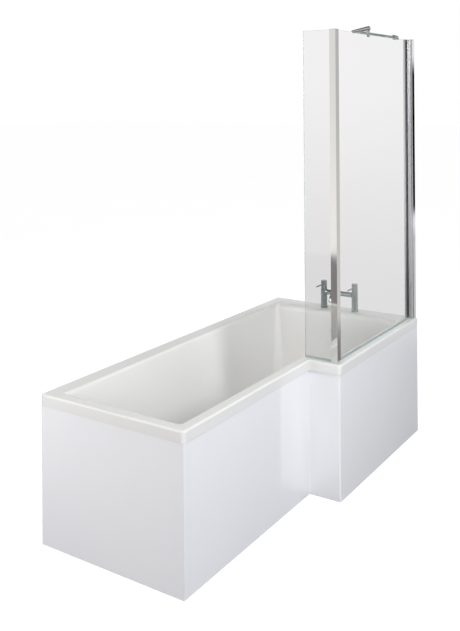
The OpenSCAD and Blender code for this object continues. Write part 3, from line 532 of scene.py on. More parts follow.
def outline(insets, corner, inner_corner, heights):
    """Points round the bath, each side moved in by its inset and at its own height."""
    place = {side: EDGES[side] + (-1 if side in ("tap", "back") else 1) * insets[side] for side in EDGES}
    points = []
    for k, (side_x, side_y, way_in, way_out) in enumerate(CORNERS):
        at, come, go = Vector((place[side_x], place[side_y])), Vector(way_in), Vector(way_out)
        radius = inner_corner if k == INNER else corner
        centre = at - come * radius + go * radius
        before, after = (side_x, side_y) if come.x == 0 else (side_y, side_x)
        arc = arc_points(centre, at - come * radius, at + go * radius, ARC_STEPS)
        rise = (heights[after] - heights[before]) / ARC_STEPS
        points += [(point.x, point.y, heights[before] + rise * step) for step, point in enumerate(arc)]
    return points


# %% Rings of the bath
def rim_rings(behind):
    """Rings up the lip and over the rim's outer edge, each as the outline function takes it."""
    levels = []
    for angle in (0, 45, 90):
        turn = math.radians(angle)
        inward = LIP_EDGE * (1 - math.sin(turn))
        levels.append((SHEET - inward if behind else inward, LIP_Z + LIP_EDGE * (1 - math.cos(turn))))
    radius = RIM_ROUND - behind
    for angle in ROUND_ANGLES:
        turn = math.radians(angle)
        levels.append((RIM_ROUND - radius * math.cos(turn), RIM_Z - RIM_ROUND + radius * math.sin(turn)))
    rings = []
    for inset, height in levels:
        corner = max(RIM_CORNER - inset, LEAST_CORNER)
        rings.append((dict.fromkeys(EDGES, inset), corner, STEP_CORNER + inset, dict.fromkeys(EDGES, height)))
    return rings


def well_inset(side, angle, height, behind, at_knee):
    """How far a side stands in from the well's edge, on its rounds or on its straight slope."""
    straight = RUNS[side] * (RIM_Z - height) / WELL_DEPTH - behind / math.cos(slope(side))
    if angle > math.pi / 2 - slope(side):
        return straight
    if at_knee:
        return RUNS[side] + tangent(side, KNEE_ROUND) - (KNEE_ROUND + behind) * math.sin(angle)
    return (WELL_ROUNDS[side] - behind) * math.sin(angle) - tangent(side, WELL_ROUNDS[side])


def well_rings(behind):
    """Rings from the rim's flat down the walls to the floor."""
    levels = []
    for angle in ROUND_ANGLES:
        turn = math.radians(angle)
        at_edge = {s: RIM_Z - r + (r - behind) * math.cos(turn) for s, r in WELL_ROUNDS.items()}
        levels.append((turn, at_edge, False))
    for share in WALL_SHARES:
        levels.append((math.pi / 2, dict.fromkeys(EDGES, RIM_Z - WELL_DEPTH * share), True))
    for angle in KNEE_ANGLES:
        turn = math.radians(angle)
        z = FLOOR_Z + KNEE_ROUND - (KNEE_ROUND + behind) * math.cos(turn)
        levels.append((turn, dict.fromkeys(EDGES, z), True))
    rings = []
    for angle, heights, at_knee in levels:
        insets = {s: RIM_WIDTHS[s] + well_inset(s, angle, heights[s], behind, at_knee) for s in EDGES}
        depth = min(max((RIM_Z - heights["back"]) / WELL_DEPTH, 0), 1)
        corner = WELL_CORNER + (FLOOR_CORNER - WELL_CORNER) * depth + behind
        inner_corner = WELL_STEP_CORNER + (FLOOR_STEP_CORNER - WELL_STEP_CORNER) * depth
        rings.append((insets, corner, inner_corner, heights))
    return rings


def bath_shell():
    """The whole sheet: the backing's rings from the floor out to the lip, then the face's rings back in."""
    shape = bmesh.new()
    backing = rim_rings(SHEET) + well_rings(SHEET)
    face = rim_rings(0) + well_rings(0)
    rings = [[shape.verts.new(point) for point in outline(*ring)] for ring in backing[::-1] + face]
    skins = bridge(shape, rings)
    behind_faces = len(rings[0]) * (len(backing) - 1)
    for skin in skins[:behind_faces]:
        skin.material_index = 1
    shape.faces.new(rings[0]).material_index = 1
    shape.faces.new(rings[-1])
    bmesh.ops.recalc_face_normals(shape, faces=shape.faces)
    print("bath shell:", len(shape.faces), "faces in", len(rings), "rings")
    return shape


# %% [markdown]
# The sheet is drilled after forming, for the waste, the overflow and the filler's two tails. The overflow's
# hole is square to the leaning wall, so its cutter, and everything that is clamped there, shares one place
# matrix: Z points into the bath, out of the wall.

# %% Holes in the bath
TAP_X, TAP_Y, TAIL_HOLE = 790, 90, 14.2
WASTE_X, WASTE_Y, WASTE_HOLE = 550, -26, 26
OVERFLOW_Z, OVERFLOW_HOLE = RIM_Z - 90, 24
overflow_x = EDGES["tap"] - RIM_WIDTHS["tap"] - RUNS["tap"] * (RIM_Z - OVERFLOW_Z) / WELL_DEPTH
at_overflow = (Matrix.Translation((overflow_x, WASTE_Y, OVERFLOW_Z)) @ Matrix.Rotation(slope("tap"), 4, "Y")
               @ Matrix.Rotation(-math.pi / 2, 4, "Y"))


def peg(radius, low, high, place=Matrix()):
    """A plain round cutter."""
    return turned([(0, low), (radius, low), (radius, high), (0, high)], place)


cutters = [peg(WASTE_HOLE, FLOOR_Z - 20, FLOOR_Z + 20, Matrix.Translation((WASTE_X, WASTE_Y, 0))),
           peg(OVERFLOW_HOLE, -30, 20, at_overflow)]
for side in (-1, 1):
    cutters.append(peg(TAIL_HOLE, RIM_Z - 30, RIM_Z + 20, Matrix.Translation((TAP_X, side * TAP_Y, 0))))
shell = joined(bath_shell(), *[("DIFFERENCE", cutter) for cutter in cutters])
piece("tub_acrylic", shell, [acrylic, fibreglass], "acrylic", "tub_shell")
tell("bath", 1)

# %% [markdown]
# The front panel is one long strip of sheet that turns two corners with the step. That is a rule, a section
# that follows a path, so Geometry Nodes make it: the path's corners are filleted, and a thin rounded
# rectangle is swept along it. The same tree makes the end panel from a straight path.

# %% Helpers for Geometry Nodes
def tree_of(name, *inputs):
    """An empty modifier tree with a geometry in and out, and inputs of (label, socket type, value)."""
    tree = bpy.data.node_groups.new(name, "GeometryNodeTree")
    tree.is_modifier = True
    tree.interface.new_socket("Geometry", in_out="INPUT", socket_type="NodeSocketGeometry")
    for label, kind, value in inputs:
        socket = tree.interface.new_socket(label, in_out="INPUT", socket_type=kind)
        if value is not None:
            socket.default_value = value
    tree.interface.new_socket("Geometry", in_out="OUTPUT", socket_type="NodeSocketGeometry")
    return tree, tree.nodes.new("NodeGroupInput"), tree.nodes.new("NodeGroupOutput")


def wire(tree, source, target):
    """Links an output to an input, each given as (node, socket name or number)."""
    tree.links.new(source[0].outputs[source[1]], target[0].inputs[target[1]])


def grown(thing, tree, **values):
    """Runs a tree on an object and gives the plain mesh that it makes, in the object's own units."""
    modifier = thing.modifiers.new("grown", "NODES")
    modifier.node_group = tree
    for item in tree.interface.items_tree:
        if item.in_out == "INPUT" and item.name in values:
            modifier[item.identifier] = values[item.name]
    mesh = plain_mesh(thing)
    shape = bmesh.new()
    shape.from_mesh(mesh)
    bpy.data.meshes.remove(mesh)
    bmesh.ops.remove_doubles(shape, verts=shape.verts, dist=MERGE)
    bmesh.ops.recalc_face_normals(shape, faces=shape.faces)
    return shape


def path_object(points):
    """A curve object through points, for a tree to work on."""
    curve = bpy.data.curves.new("path", "CURVE")
    curve.dimensions = "3D"
    spline = curve.splines.new("POLY")
    spline.points.add(len(points) - 1)
    for k, point in enumerate(points):
        spline.points[k].co = (*point, 1)
    return link(curve, "path")


# %% Panels
def panel_tree():
    """Sweeps a thin rounded rectangle along a path whose corners are filleted."""
    tree, given, out = tree_of(
        "panel_strip", ("bend", "NodeSocketFloat", 5.0), ("thickness", "NodeSocketFloat", 4.0),
        ("height", "NodeSocketFloat", 570.0), ("edge", "NodeSocketFloat", 1.0),
        ("finish", "NodeSocketMaterial", None))
    bends = tree.nodes.new("GeometryNodeFilletCurve")
    bends.mode = "POLY"
    bends.inputs["Count"].default_value = 6
    upright = tree.nodes.new("GeometryNodeSetCurveNormal")
    upright.mode = "Z_UP"
    section = tree.nodes.new("GeometryNodeCurvePrimitiveQuadrilateral")
    soft = tree.nodes.new("GeometryNodeFilletCurve")
    soft.mode = "POLY"
    soft.inputs["Count"].default_value = 3
    sweep = tree.nodes.new("GeometryNodeCurveToMesh")
    sweep.inputs["Fill Caps"].default_value = True
    realize = tree.nodes.new("GeometryNodeRealizeInstances")
    paint = tree.nodes.new("GeometryNodeSetMaterial")
    for source, target in (
            ((given, "Geometry"), (bends, "Curve")), ((given, "bend"), (bends, "Radius")),
            ((bends, "Curve"), (upright, "Curve")), ((given, "thickness"), (section, "Width")),
            ((given, "height"), (section, "Height")), ((section, "Curve"), (soft, "Curve")),
            ((given, "edge"), (soft, "Radius")), ((upright, "Curve"), (sweep, "Curve")),
            ((soft, "Curve"), (sweep, "Profile Curve")), ((sweep, "Mesh"), (realize, "Geometry")),
            ((realize, "Geometry"), (paint, "Geometry")), ((given, "finish"), (paint, "Material")),
            ((paint, "Geometry"), (out, "Geometry"))):
        wire(tree, source, target)
    return tree


front_low, front_high = mm_box("front_panel")
end_low, end_high = mm_box("end_panel")
PANEL, PANEL_H = 4, front_high.z
PANEL_BEND, PANEL_EDGE = 5.0, 0.9
SET_BACK = 5.5
NOTCH_DEPTH, NOTCH_LOW, NOTCH_ROOM = 5.3, LIP_Z - 0.3, 9
panel_strip = panel_tree()


def panel(points, notch_low, notch_high):
    """A panel along a path at its middle, with the notch that clears the rim's lip."""
    path = path_object([(x, y, PANEL_H / 2) for x, y in points])
    strip = grown(path, panel_strip, bend=PANEL_BEND, thickness=float(PANEL), height=float(PANEL_H),
                  edge=PANEL_EDGE, finish=panel_acrylic)
    return joined(strip, ("DIFFERENCE", block(notch_low, notch_high)))


narrow_y = EDGES["narrow"] + SET_BACK + PANEL / 2
wide_y = front_low.y + PANEL / 2
step_x = EDGES["step"] + SET_BACK + PANEL / 2
front = panel([(front_low.x, narrow_y), (step_x, narrow_y), (step_x, wide_y), (front_high.x, wide_y)],
              (EDGES["tap"] - NOTCH_DEPTH, wide_y - NOTCH_ROOM, NOTCH_LOW),
              (EDGES["tap"] + NOTCH_ROOM, wide_y + NOTCH_ROOM, RIM_Z))
end_x = end_low.x + PANEL / 2
end = panel([(end_x, end_low.y), (end_x, end_high.y)],
            (end_x - NOTCH_ROOM, EDGES["back"] - NOTCH_DEPTH, NOTCH_LOW),
            (end_x + NOTCH_ROOM, EDGES["back"] + NOTCH_ROOM, RIM_Z))
piece("front_panel_strip", front, panel_acrylic, "panel", "front_panel")
piece("end_panel_sheet", end, panel_acrylic, "panel", "end_panel")
for made in PIECES[-2:]:
    print(made.name, [round(v / MM) for v in made.dimensions])

# %% [markdown]
# The screen's two panes are 6 mm toughened sheets with polished faces and ground, slightly rounded edges.
# The square post, the wall channel and the profile that slides in it are extrusions, so the CAD sections
# are already right, and only their edges are broken. The panes stand in soft grey-green seals.

# %% Screen
FACE_ON = 0.99


def pane(name, node, sheet):
    """A pane of glass with its ground edges."""
    low, high = mm_box(node)
    shape = softened(block(low, high), 0.8)
    thin = min(range(3), key=lambda axis: (high - low)[axis])
    for face in shape.faces:
        face.material_index = 0 if abs(face.normal[thin]) > FACE_ON else 1
    piece(name, shape, [sheet, ground_edge], "glass", node)


pane("main_pane", "main_glass", glass)
pane("return_pane", "return_glass", return_shaded_glass)
dressed("corner_post", chrome, "chrome", 0.9)
dressed("wall_channel", channel_chrome, "chrome", 0.4)
dressed("glass_profile", satin_profile, "chrome", 0.4)
dressed("profile_caps", chrome, "chrome", 0.7)
dressed("wall_gasket", black_rubber, "black_rubber", 0.6)
dressed("main_seal", seal_rubber, "seal", 0.8)
dressed("return_seal", seal_rubber, "seal", 0.8)
tell("screen", 9)

# %% [markdown]
# The bath filler is turned and cast brass under bright plating. Its plating is coloured a dark teal grey
# here:
# painted shade, standing in for the dark surroundings that it mirrors. Each pillar is a lathe piece with a
# wide foot on the deck and a threaded tail below it. The crossbar swells where it meets the pillars, as a
# casting does. Booleans weld pillars, crossbar and spout boss into one closed body, because chrome shows
# every seam.

# %% Filler body
def ridges(radius, low, high, pitch, depth):
    """Profile points of a screw thread's crests and roots."""
    count = int((high - low) / pitch)
    points = []
    for k in range(count):
        base = low + (high - low) * k / count
        points += [(radius - depth, base), (radius, base + 0.5 * pitch)]
    return points


def flat(path):
    """A rounded path as plain (radius, height) points."""
    return [(point.x, point.y) for point in path]


PILLAR_R, PILLAR_TOP, FOOT_R = 17, 100, 19
TAIL_R, TAIL_LOW, TAIL_BORE, TAIL_PITCH = 13.2, -75, 8.5, 1.81
SOCKET_R, SOCKET_LOW = 10, 62
CROSSBAR_Z, CROSSBAR_R, SWELL = 84, 13, 2.6
BOSS_R, BOSS_L = 14, 16


def pillar():
    """One pillar with its foot, its tail and the bore for water and the cartridge."""
    tail = [(TAIL_BORE, TAIL_LOW), (TAIL_R - 1.5, TAIL_LOW)]
    thread = ridges(TAIL_R, TAIL_LOW + 0.8, -8, TAIL_PITCH, 1.1)
    body = flat(rounded([(TAIL_R, -7, 0), (TAIL_R, 1, 0), (FOOT_R, 1, 0.4), (FOOT_R, 4, 1.2),
                         (PILLAR_R, 6.5, 2.5), (PILLAR_R, 98.6, 0.6), (PILLAR_R - 1.2, PILLAR_TOP, 0.5),
                         (SOCKET_R, PILLAR_TOP, 0), (SOCKET_R, SOCKET_LOW, 0), (TAIL_BORE, SOCKET_LOW, 0)]))
    return tail + thread + body


def filler():
    """Both pillars, the crossbar and the spout's boss as one casting."""
    at = [Matrix.Translation((TAP_X, side * TAP_Y, RIM_Z)) for side in (-1, 1)]
    along_y = Matrix.Translation((TAP_X, 0, RIM_Z + CROSSBAR_Z)) @ Matrix.Rotation(-math.pi / 2, 4, "X")
    along_x = Matrix.Translation((TAP_X, 0, RIM_Z + CROSSBAR_Z)) @ Matrix.Rotation(-math.pi / 2, 4, "Y")
    reach = TAP_Y - PILLAR_R
    end_r = CROSSBAR_R + SWELL
    bar = flat(rounded([(0, -reach - 4, 0), (end_r, -reach - 4, 0), (end_r, -reach, 0.5),
                        (CROSSBAR_R, -reach + 3, 2.5), (CROSSBAR_R, reach - 3, 2.5), (end_r, reach, 0.5),
                        (end_r, reach + 4, 0), (0, reach + 4, 0)]))
    boss_top = BOSS_L - 0.5
    boss = flat(rounded([(0, 0, 0), (BOSS_R, 0, 0), (BOSS_R, boss_top, 0.8), (0, boss_top, 0)]))
    added = [turned(boss, along_x)] + [turned(pillar(), place, loop=True) for place in at]
    return joined(turned(bar, along_y), *[("UNION", shape) for shape in added])


piece("filler_casting", filler(), painted_shade_chrome, "chrome", "filler_body")
tell("filler", 1)

# %% [markdown]
# The handles are plain turned caps over the cartridges, and a slim pin is screwed into each as its lever.
# They belong to the two controls, which turn outwards by a quarter, so the pieces ride on those bodies.

# %% Handles, levers and their works
HANDLE_R, HANDLE_LOW, HANDLE_H = 16, 100.3, 45
HANDLE_TOP, HANDLE_BORE, SPINDLE_HOLE = HANDLE_LOW + HANDLE_H, 9.5, 4.05
FIT = 0.05
LEVER_Z, LEVER_TIP, LEVER_R = HANDLE_LOW + HANDLE_H * 0.55, 82, 3.5
LEVER_ROOT, LEVER_COLLAR, COLLAR_LOW = 10, LEVER_R + 1, 16.05
# The caps and pins get the painted-shade chrome, darker than their bright plating is.
for word, side in (("hot", 1), ("cold", -1)):
    axis = Matrix.Translation((TAP_X, side * TAP_Y, RIM_Z))
    cap = flat(rounded([(HANDLE_BORE, HANDLE_LOW, 0), (HANDLE_R, HANDLE_LOW, 0.6),
                        (HANDLE_R, HANDLE_TOP, 2.2), (HANDLE_R - 5, HANDLE_TOP, 0), (0, HANDLE_TOP, 0)],
                       steps=5))
    cap += [(0, HANDLE_LOW + 19), (SPINDLE_HOLE, HANDLE_LOW + 19), (SPINDLE_HOLE, HANDLE_LOW + 10),
            (HANDLE_BORE, HANDLE_LOW + 10)]
    pin_place = axis @ Matrix.Translation((0, 0, LEVER_Z)) @ Matrix.Rotation(-math.pi / 2, 4, "Y")
    hole = peg(LEVER_R + FIT, LEVER_ROOT, 30, pin_place)
    body = word + "_control"
    piece(word + "_cap", joined(turned(cap, axis, loop=True), ("DIFFERENCE", hole)), painted_shade_chrome, "chrome",
          word + "_handle", body=body)
    pin = flat(rounded([(0, LEVER_ROOT, 0), (LEVER_R, LEVER_ROOT, 0), (LEVER_R, COLLAR_LOW, 0),
                        (LEVER_COLLAR, COLLAR_LOW, 0.3), (LEVER_COLLAR, 18, 0.5), (LEVER_R, 18.6, 0.3),
                        (LEVER_R, LEVER_TIP, 3.2), (0, LEVER_TIP, 0)], steps=6))
    piece(word + "_pin", turned(pin, pin_place, facets=32), painted_shade_chrome, "chrome", word + "_lever", body=body)
    dressed(word + "_spindle", brass, "brass", 0.4, body=body)
    dressed(word + "_valve", brass, "brass", 0.4)
    tell(word + " control", 4)

# %% [markdown]
# The spout and the overflow pipe are tubes that follow a bent path. One tree makes both: the bend is
# filleted, a circle is swept along it, and the bore is swept along the same path, carried a little past
# both ends, and cut out.

# %% Tubes along a path
def tube_tree():
    """Sweeps a tube along a path with filleted bends and cuts its bore."""
    tree, given, out = tree_of(
        "bent_tube", ("bend", "NodeSocketFloat", 20.0), ("outer", "NodeSocketFloat", 12.0),
        ("bore", "NodeSocketFloat", 8.0), ("past", "NodeSocketFloat", 2.0),
        ("finish", "NodeSocketMaterial", None))
    bends = tree.nodes.new("GeometryNodeFilletCurve")
    bends.mode = "POLY"
    bends.inputs["Count"].default_value = 20
    wire(tree, (given, "Geometry"), (bends, "Curve"))
    wire(tree, (given, "bend"), (bends, "Radius"))
    longer = (bends, "Curve")
    for first, sign in ((1, -1.0), (0, 1.0)):
        ends = tree.nodes.new("GeometryNodeCurveEndpointSelection")
        ends.inputs["Start Size"].default_value = first
        ends.inputs["End Size"].default_value = 1 - first
        way = tree.nodes.new("GeometryNodeInputTangent")
        far = tree.nodes.new("ShaderNodeMath")
        far.operation = "MULTIPLY"
        far.inputs[1].default_value = sign
        step = tree.nodes.new("ShaderNodeVectorMath")
        step.operation = "SCALE"
        move = tree.nodes.new("GeometryNodeSetPosition")
        wire(tree, (given, "past"), (far, 0))
        wire(tree, (way, "Tangent"), (step, 0))
        wire(tree, (far, 0), (step, "Scale"))
        wire(tree, longer, (move, "Geometry"))
        wire(tree, (ends, "Selection"), (move, "Selection"))
        wire(tree, (step, 0), (move, "Offset"))
        longer = (move, "Geometry")
    sweeps = []
    for path, label in (((bends, "Curve"), "outer"), (longer, "bore")):
        circle = tree.nodes.new("GeometryNodeCurvePrimitiveCircle")
        circle.inputs["Resolution"].default_value = 64
        sweep = tree.nodes.new("GeometryNodeCurveToMesh")
        sweep.inputs["Fill Caps"].default_value = True
        wire(tree, (given, label), (circle, "Radius"))
        wire(tree, path, (sweep, "Curve"))
        wire(tree, (circle, "Curve"), (sweep, "Profile Curve"))
        sweeps.append(sweep)
    cut = tree.nodes.new("GeometryNodeMeshBoolean")
    cut.operation = "DIFFERENCE"
    cut.solver = "EXACT"
    realize = tree.nodes.new("GeometryNodeRealizeInstances")
    paint = tree.nodes.new("GeometryNodeSetMaterial")
    for source, target in (
            ((sweeps[0], "Mesh"), (cut, "Mesh 1")), ((sweeps[1], "Mesh"), (cut, "Mesh 2")),
            ((cut, "Mesh"), (realize, "Geometry")), ((realize, "Geometry"), (paint, "Geometry")),
            ((given, "finish"), (paint, "Material")), ((paint, "Geometry"), (out, "Geometry"))):
        wire(tree, source, target)
    return tree


bent_tube = tube_tree()
BORE_PAST = 2.0
print("tube tree:", len(bent_tube.nodes), "nodes")

# %% Spout and aerator
SPOUT_X, SPOUT_LOW = TAP_X - 96, CROSSBAR_Z - 24
SPOUT_BEND, SPOUT_R, SPOUT_BORE = 20.0, 12.0, 8.0
AERATOR_R, AERATOR_BORE, AERATOR_TOP = SPOUT_BORE - FIT, 5.5, SPOUT_LOW + 3
AERATOR_RIM, AERATOR_LOW = 10, SPOUT_LOW - 1.5
spout_z = RIM_Z + CROSSBAR_Z
spout_path = path_object([(TAP_X - BOSS_L, 0, spout_z), (SPOUT_X, 0, spout_z),
                          (SPOUT_X, 0, RIM_Z + SPOUT_LOW)])
spout_shape = grown(spout_path, bent_tube, bend=SPOUT_BEND, outer=SPOUT_R, bore=SPOUT_BORE, past=BORE_PAST,
                    finish=chrome)
piece("spout_tube", softened(spout_shape, 0.7, 50), chrome, "chrome", "spout")
insert = flat(rounded([(AERATOR_BORE, AERATOR_LOW, 0), (AERATOR_RIM, AERATOR_LOW, 0.5),
                       (AERATOR_RIM, SPOUT_LOW, 0), (AERATOR_R, SPOUT_LOW, 0), (AERATOR_R, AERATOR_TOP, 0.4),
                       (AERATOR_BORE, AERATOR_TOP, 0)], closed=True))
at_outlet = Matrix.Translation((SPOUT_X, 0, RIM_Z))
piece("aerator_insert", turned(insert, at_outlet, loop=True), white_plastic, "white_plastic", "aerator")
tell("spout", 2)

# %% Overflow pipe
PIPE_BEND, PIPE_R, PIPE_WALL = 45.0, 16, 2.0
pipe_low, pipe_high = mm_box("overflow_pipe")
pipe_x, pipe_z = pipe_high.x - PIPE_R, pipe_low.z + PIPE_R
pipe_path = path_object([(pipe_x, WASTE_Y, pipe_high.z), (pipe_x, WASTE_Y, pipe_z),
                         (pipe_low.x, WASTE_Y, pipe_z)])
pipe_shape = grown(pipe_path, bent_tube, bend=PIPE_BEND, outer=float(PIPE_R), bore=PIPE_R - PIPE_WALL,
                   past=BORE_PAST, finish=white_plastic)
piece("overflow_tube", pipe_shape, white_plastic, "white_plastic", "overflow_pipe")
tell("pipe", 1)

# %% [markdown]
# The waste's flange is a shallow dish with a spider that guides the plug's stem, and the push plug is a
# domed disc. The overflow's cover is a disc whose lower edge is open behind, so it only shows its face.

# %% Waste and overflow
at_waste = Matrix.Translation((WASTE_X, WASTE_Y, FLOOR_Z))
FLANGE_R, STUB_R, STUB_BORE, STUB_LOW = 35, 24, 19, -32
HUB_R, HUB_BORE, HUB_TOP, ARM_TOP, ARMS = 8, 4.05, -26, -26.5, 3
ring = flat(rounded([(STUB_BORE, STUB_LOW, 0), (STUB_R, STUB_LOW, 0), (STUB_R, 0, 0), (FLANGE_R, 0, 0.3),
                     (FLANGE_R, 1.6, 1.0), (FLANGE_R - 2.5, 3, 2.0), (22, 3, 1.5), (STUB_BORE, 1.2, 1.0)],
                    closed=True))
hub = turned([(HUB_BORE, STUB_LOW), (HUB_R, STUB_LOW), (HUB_R, ARM_TOP), (HUB_R - 0.5, HUB_TOP),
              (HUB_BORE, HUB_TOP)], at_waste, loop=True)
added = [hub]
for turn in range(ARMS):
    arm = block((5.5, -2, STUB_LOW), (STUB_BORE + 1, 2, ARM_TOP))
    arm.transform(at_waste @ Matrix.Rotation(2 * math.pi * turn / ARMS, 4, "Z"))
    added.append(arm)
flange = joined(turned(ring, at_waste, loop=True), *[("UNION", shape) for shape in added])
piece("waste_dish", flange, chrome, "chrome", "waste_flange")
PLUG_R, PLUG_LOW, PLUG_TOP = 22, 11, 16
STEM_R, STEM_END = 4, -36
plug = flat(rounded([(0, STEM_END, 0), (STEM_R, STEM_END, 0.5), (STEM_R, PLUG_LOW, 0),
                     (PLUG_R - 3.5, PLUG_LOW, 0.5), (PLUG_R, PLUG_LOW + 1.2, 0.5), (PLUG_R, 14, 1.2),
                     (16, PLUG_TOP - 0.3, 12), (0, PLUG_TOP, 0)], steps=5))
piece("push_plug", turned(plug, at_waste), chrome, "chrome", "waste_plug", body="plug")
COVER_R, COVER_LOW, COVER_H = 28, 0.05, 8
cover = flat(rounded([(0, COVER_LOW, 0), (COVER_R - 0.6, COVER_LOW, 0), (COVER_R, 2, 0.5), (COVER_R, 6, 1.8),
                      (24, COVER_H, 3), (0, COVER_H, 0)], steps=6))
outlet = block((-COVER_R - 1, -10, -1), (-COVER_R / 2, 10, 6))
outlet.transform(at_overflow)
face = joined(turned(cover, at_overflow), ("DIFFERENCE", outlet))
piece("overflow_face", face, chrome, "chrome", "overflow_cover")
dressed("overflow_elbow", white_plastic, "white_plastic", 0.8)
dressed("waste_body", white_plastic, "white_plastic", 0.8)
for seal in ("waste_washer", "overflow_washer", "deck_washers"):
    dressed(seal, black_rubber, "black_rubber", 0.3)
tell("waste and overflow", 8)

# %% [markdown]
# At the top, a rod runs from the wall at the tap end, behind the screen, to a clamp on the pane. The clamp's
# head is a cone that carries the rod at its thin end and a slotted jaw near its wide end.

# %% Stabiliser arm
plate_low, plate_high = mm_box("arm_wall_plate")
arm_y, arm_z = (plate_low.y + plate_high.y) / 2, (plate_low.z + plate_high.z) / 2
screw_low, screw_high = mm_box("clamp_screw")
clamp_x = (screw_low.x + screw_high.x) / 2
glass_low, glass_high = mm_box("main_glass")
pane_y = (glass_low.y + glass_high.y) / 2
ROD_R, ROD_START = 7.5, 8.3
CUP_R, CUP_BORE, CUP_FLOOR, CUP_L = 13, 10.05, 8, 40
from_wall = Matrix.Translation((EDGES["tap"], arm_y, arm_z)) @ Matrix.Rotation(-math.pi / 2, 4, "Y")
cup = flat(rounded([(CUP_BORE, 0, 0), (CUP_R, 0, 0.4), (CUP_R, CUP_L - 3, 2.5), (CUP_R - 3, CUP_L, 0.8),
                    (ROD_R + FIT, CUP_L, 0), (ROD_R + FIT, CUP_FLOOR, 0), (CUP_BORE, CUP_FLOOR, 0)],
                   closed=True))
# The cup and the clamp head get a darker copy of chrome: painted shade.
piece("arm_cup", turned(cup, from_wall, loop=True), arm_painted_shade_chrome, "chrome", "arm_flange")
dressed("arm_wall_plate", zinc, "galvanised_steel", 0.4)
EYE_R, HEAD_R, PIN_R = 7, 11.5, 4
rod_end = EDGES["tap"] - clamp_x
shoulder, pin_end = rod_end - EYE_R - 1, rod_end + EYE_R
rod = flat(rounded([(0, ROD_START, 0), (ROD_R, ROD_START, 0.5), (ROD_R, shoulder, 0.5), (PIN_R, shoulder, 0),
                    (PIN_R, pin_end, 0.6), (0, pin_end, 0)]))
# The rod gets the painted-shade chrome, darker than its bright plating is.
piece("arm_tube", turned(rod, from_wall), painted_shade_chrome, "chrome", "arm_rod")

# %% Clamp on the pane
JAW_R, JAW_BITE, JAW_SLOT, JAW_TOP = 8.5, 13, 6.6, 22
HEAD_FRONT, HEAD_LIFT = 9, 12.5
head_run = arm_y - pane_y + HEAD_FRONT + EYE_R
head_tilt = math.atan(HEAD_LIFT / head_run)
head_l = head_run / math.cos(head_tilt)
from_eye = (Matrix.Translation((clamp_x, arm_y, arm_z)) @ Matrix.Rotation(math.pi / 2 - head_tilt, 4, "X")
            @ Matrix.Translation((0, 0, -EYE_R)))
cone = flat(rounded([(0, 0, 0), (EYE_R, 0, 1.2), (HEAD_R, head_l, 2.2), (0, head_l, 0)], steps=5))
jaw_side = flat(rounded([(0, -JAW_BITE, 0), (JAW_R, -JAW_BITE, 1), (JAW_R, JAW_TOP, 0), (0, JAW_TOP, 0)]))
jaw_at = Matrix.Translation((clamp_x, pane_y, glass_high.z))
slot_cut = block((-10, -JAW_SLOT / 2, -JAW_BITE - 1), (10, JAW_SLOT / 2, 0.3))
slot_cut.transform(jaw_at)
eye_bore = peg(PIN_R + FIT, rod_end - 20, rod_end + 20, from_wall)
eye_face = block((clamp_x + EYE_R + 0.5, arm_y - 9, arm_z - 20), (clamp_x + 20, arm_y + 9, arm_z + 20))
clamp = joined(turned(cone, from_eye), ("UNION", turned(jaw_side, jaw_at)), ("DIFFERENCE", slot_cut),
               ("DIFFERENCE", eye_bore), ("DIFFERENCE", eye_face))
piece("clamp_head", clamp, arm_painted_shade_chrome, "chrome", "glass_clamp")
dressed("clamp_screw", zinc, "galvanised_steel", 0.3)
tell("arm", 5)

# %% [markdown]
# Under the bath is the part that nobody sees once it is fitted: a chipboard stiffener, softwood battens
# under the rim and on the floor, pressed steel bars and screw-down feet. The battens' grain runs along
# their length, so there is one wood for each direction.

# %% Carcass
dressed("base_board", chipboard, "board", 0.6)
for node in ("rim_batten_back", "rim_batten_narrow", "rim_batten_wide", "floor_batten_narrow",
             "floor_batten_wide"):
    dressed(node, batten_along_x, "timber", 1.0)
for node in ("rim_batten_near", "rim_batten_tap", "floor_batten_end"):
    dressed(node, batten_along_y, "timber", 1.0)
for node in ("leg_bar_near", "leg_bar_middle", "leg_bar_tap"):
    dressed(node, zinc, "galvanised_steel", 0.5)
dressed("wall_brackets", zinc, "galvanised_steel", 0.5)
tell("carcass", 13)

# %% Feet
PAD_R, PAD_NECK_R, PAD_H = 25, 12, 22
STUD_R, STUD_PITCH, STUD_LOW = 6, 1.75, 18


def foot_shape(x, y, top):
    """A moulded pad with a threaded stud standing in it."""
    place = Matrix.Translation((x, y, 0))
    side = flat(rounded([(0, 0, 0), (PAD_R, 0, 0.8), (PAD_R, 5, 1.5), (17, 9, 3), (PAD_NECK_R, 12, 2),
                         (PAD_NECK_R, PAD_H, 1.5), (STUD_R - 0.8, PAD_H, 0), (0, PAD_H, 0)], steps=5))
    thread = ridges(STUD_R, STUD_LOW + 0.5, top - 1.5, STUD_PITCH, 0.95)
    stud = turned([(0, STUD_LOW), (STUD_R - 1, STUD_LOW)] + thread
                  + [(STUD_R - 1, top - 1), (STUD_R - 1.6, top), (0, top)], place, facets=24)
    for face in stud.faces:
        face.material_index = 1
    return together(turned(side, place), stud)


for node in sorted(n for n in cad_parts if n.startswith("foot_")):
    low, high = mm_box(node)
    shape = foot_shape((low.x + high.x) / 2, (low.y + high.y) / 2, high.z)
    piece(node + "_turned", shape, [black_plastic, zinc], "feet_plastic", node, body=node)
tell("feet", 6)

# %% [markdown]
# Nuts, screws and panel clips repeat, so each is modelled once and set out by one tree. The frame already
# knows where they are: each loose part of a CAD node gives one point, with its turn as an attribute of the
# point, and the tree puts a copy on every point and makes the copies real.

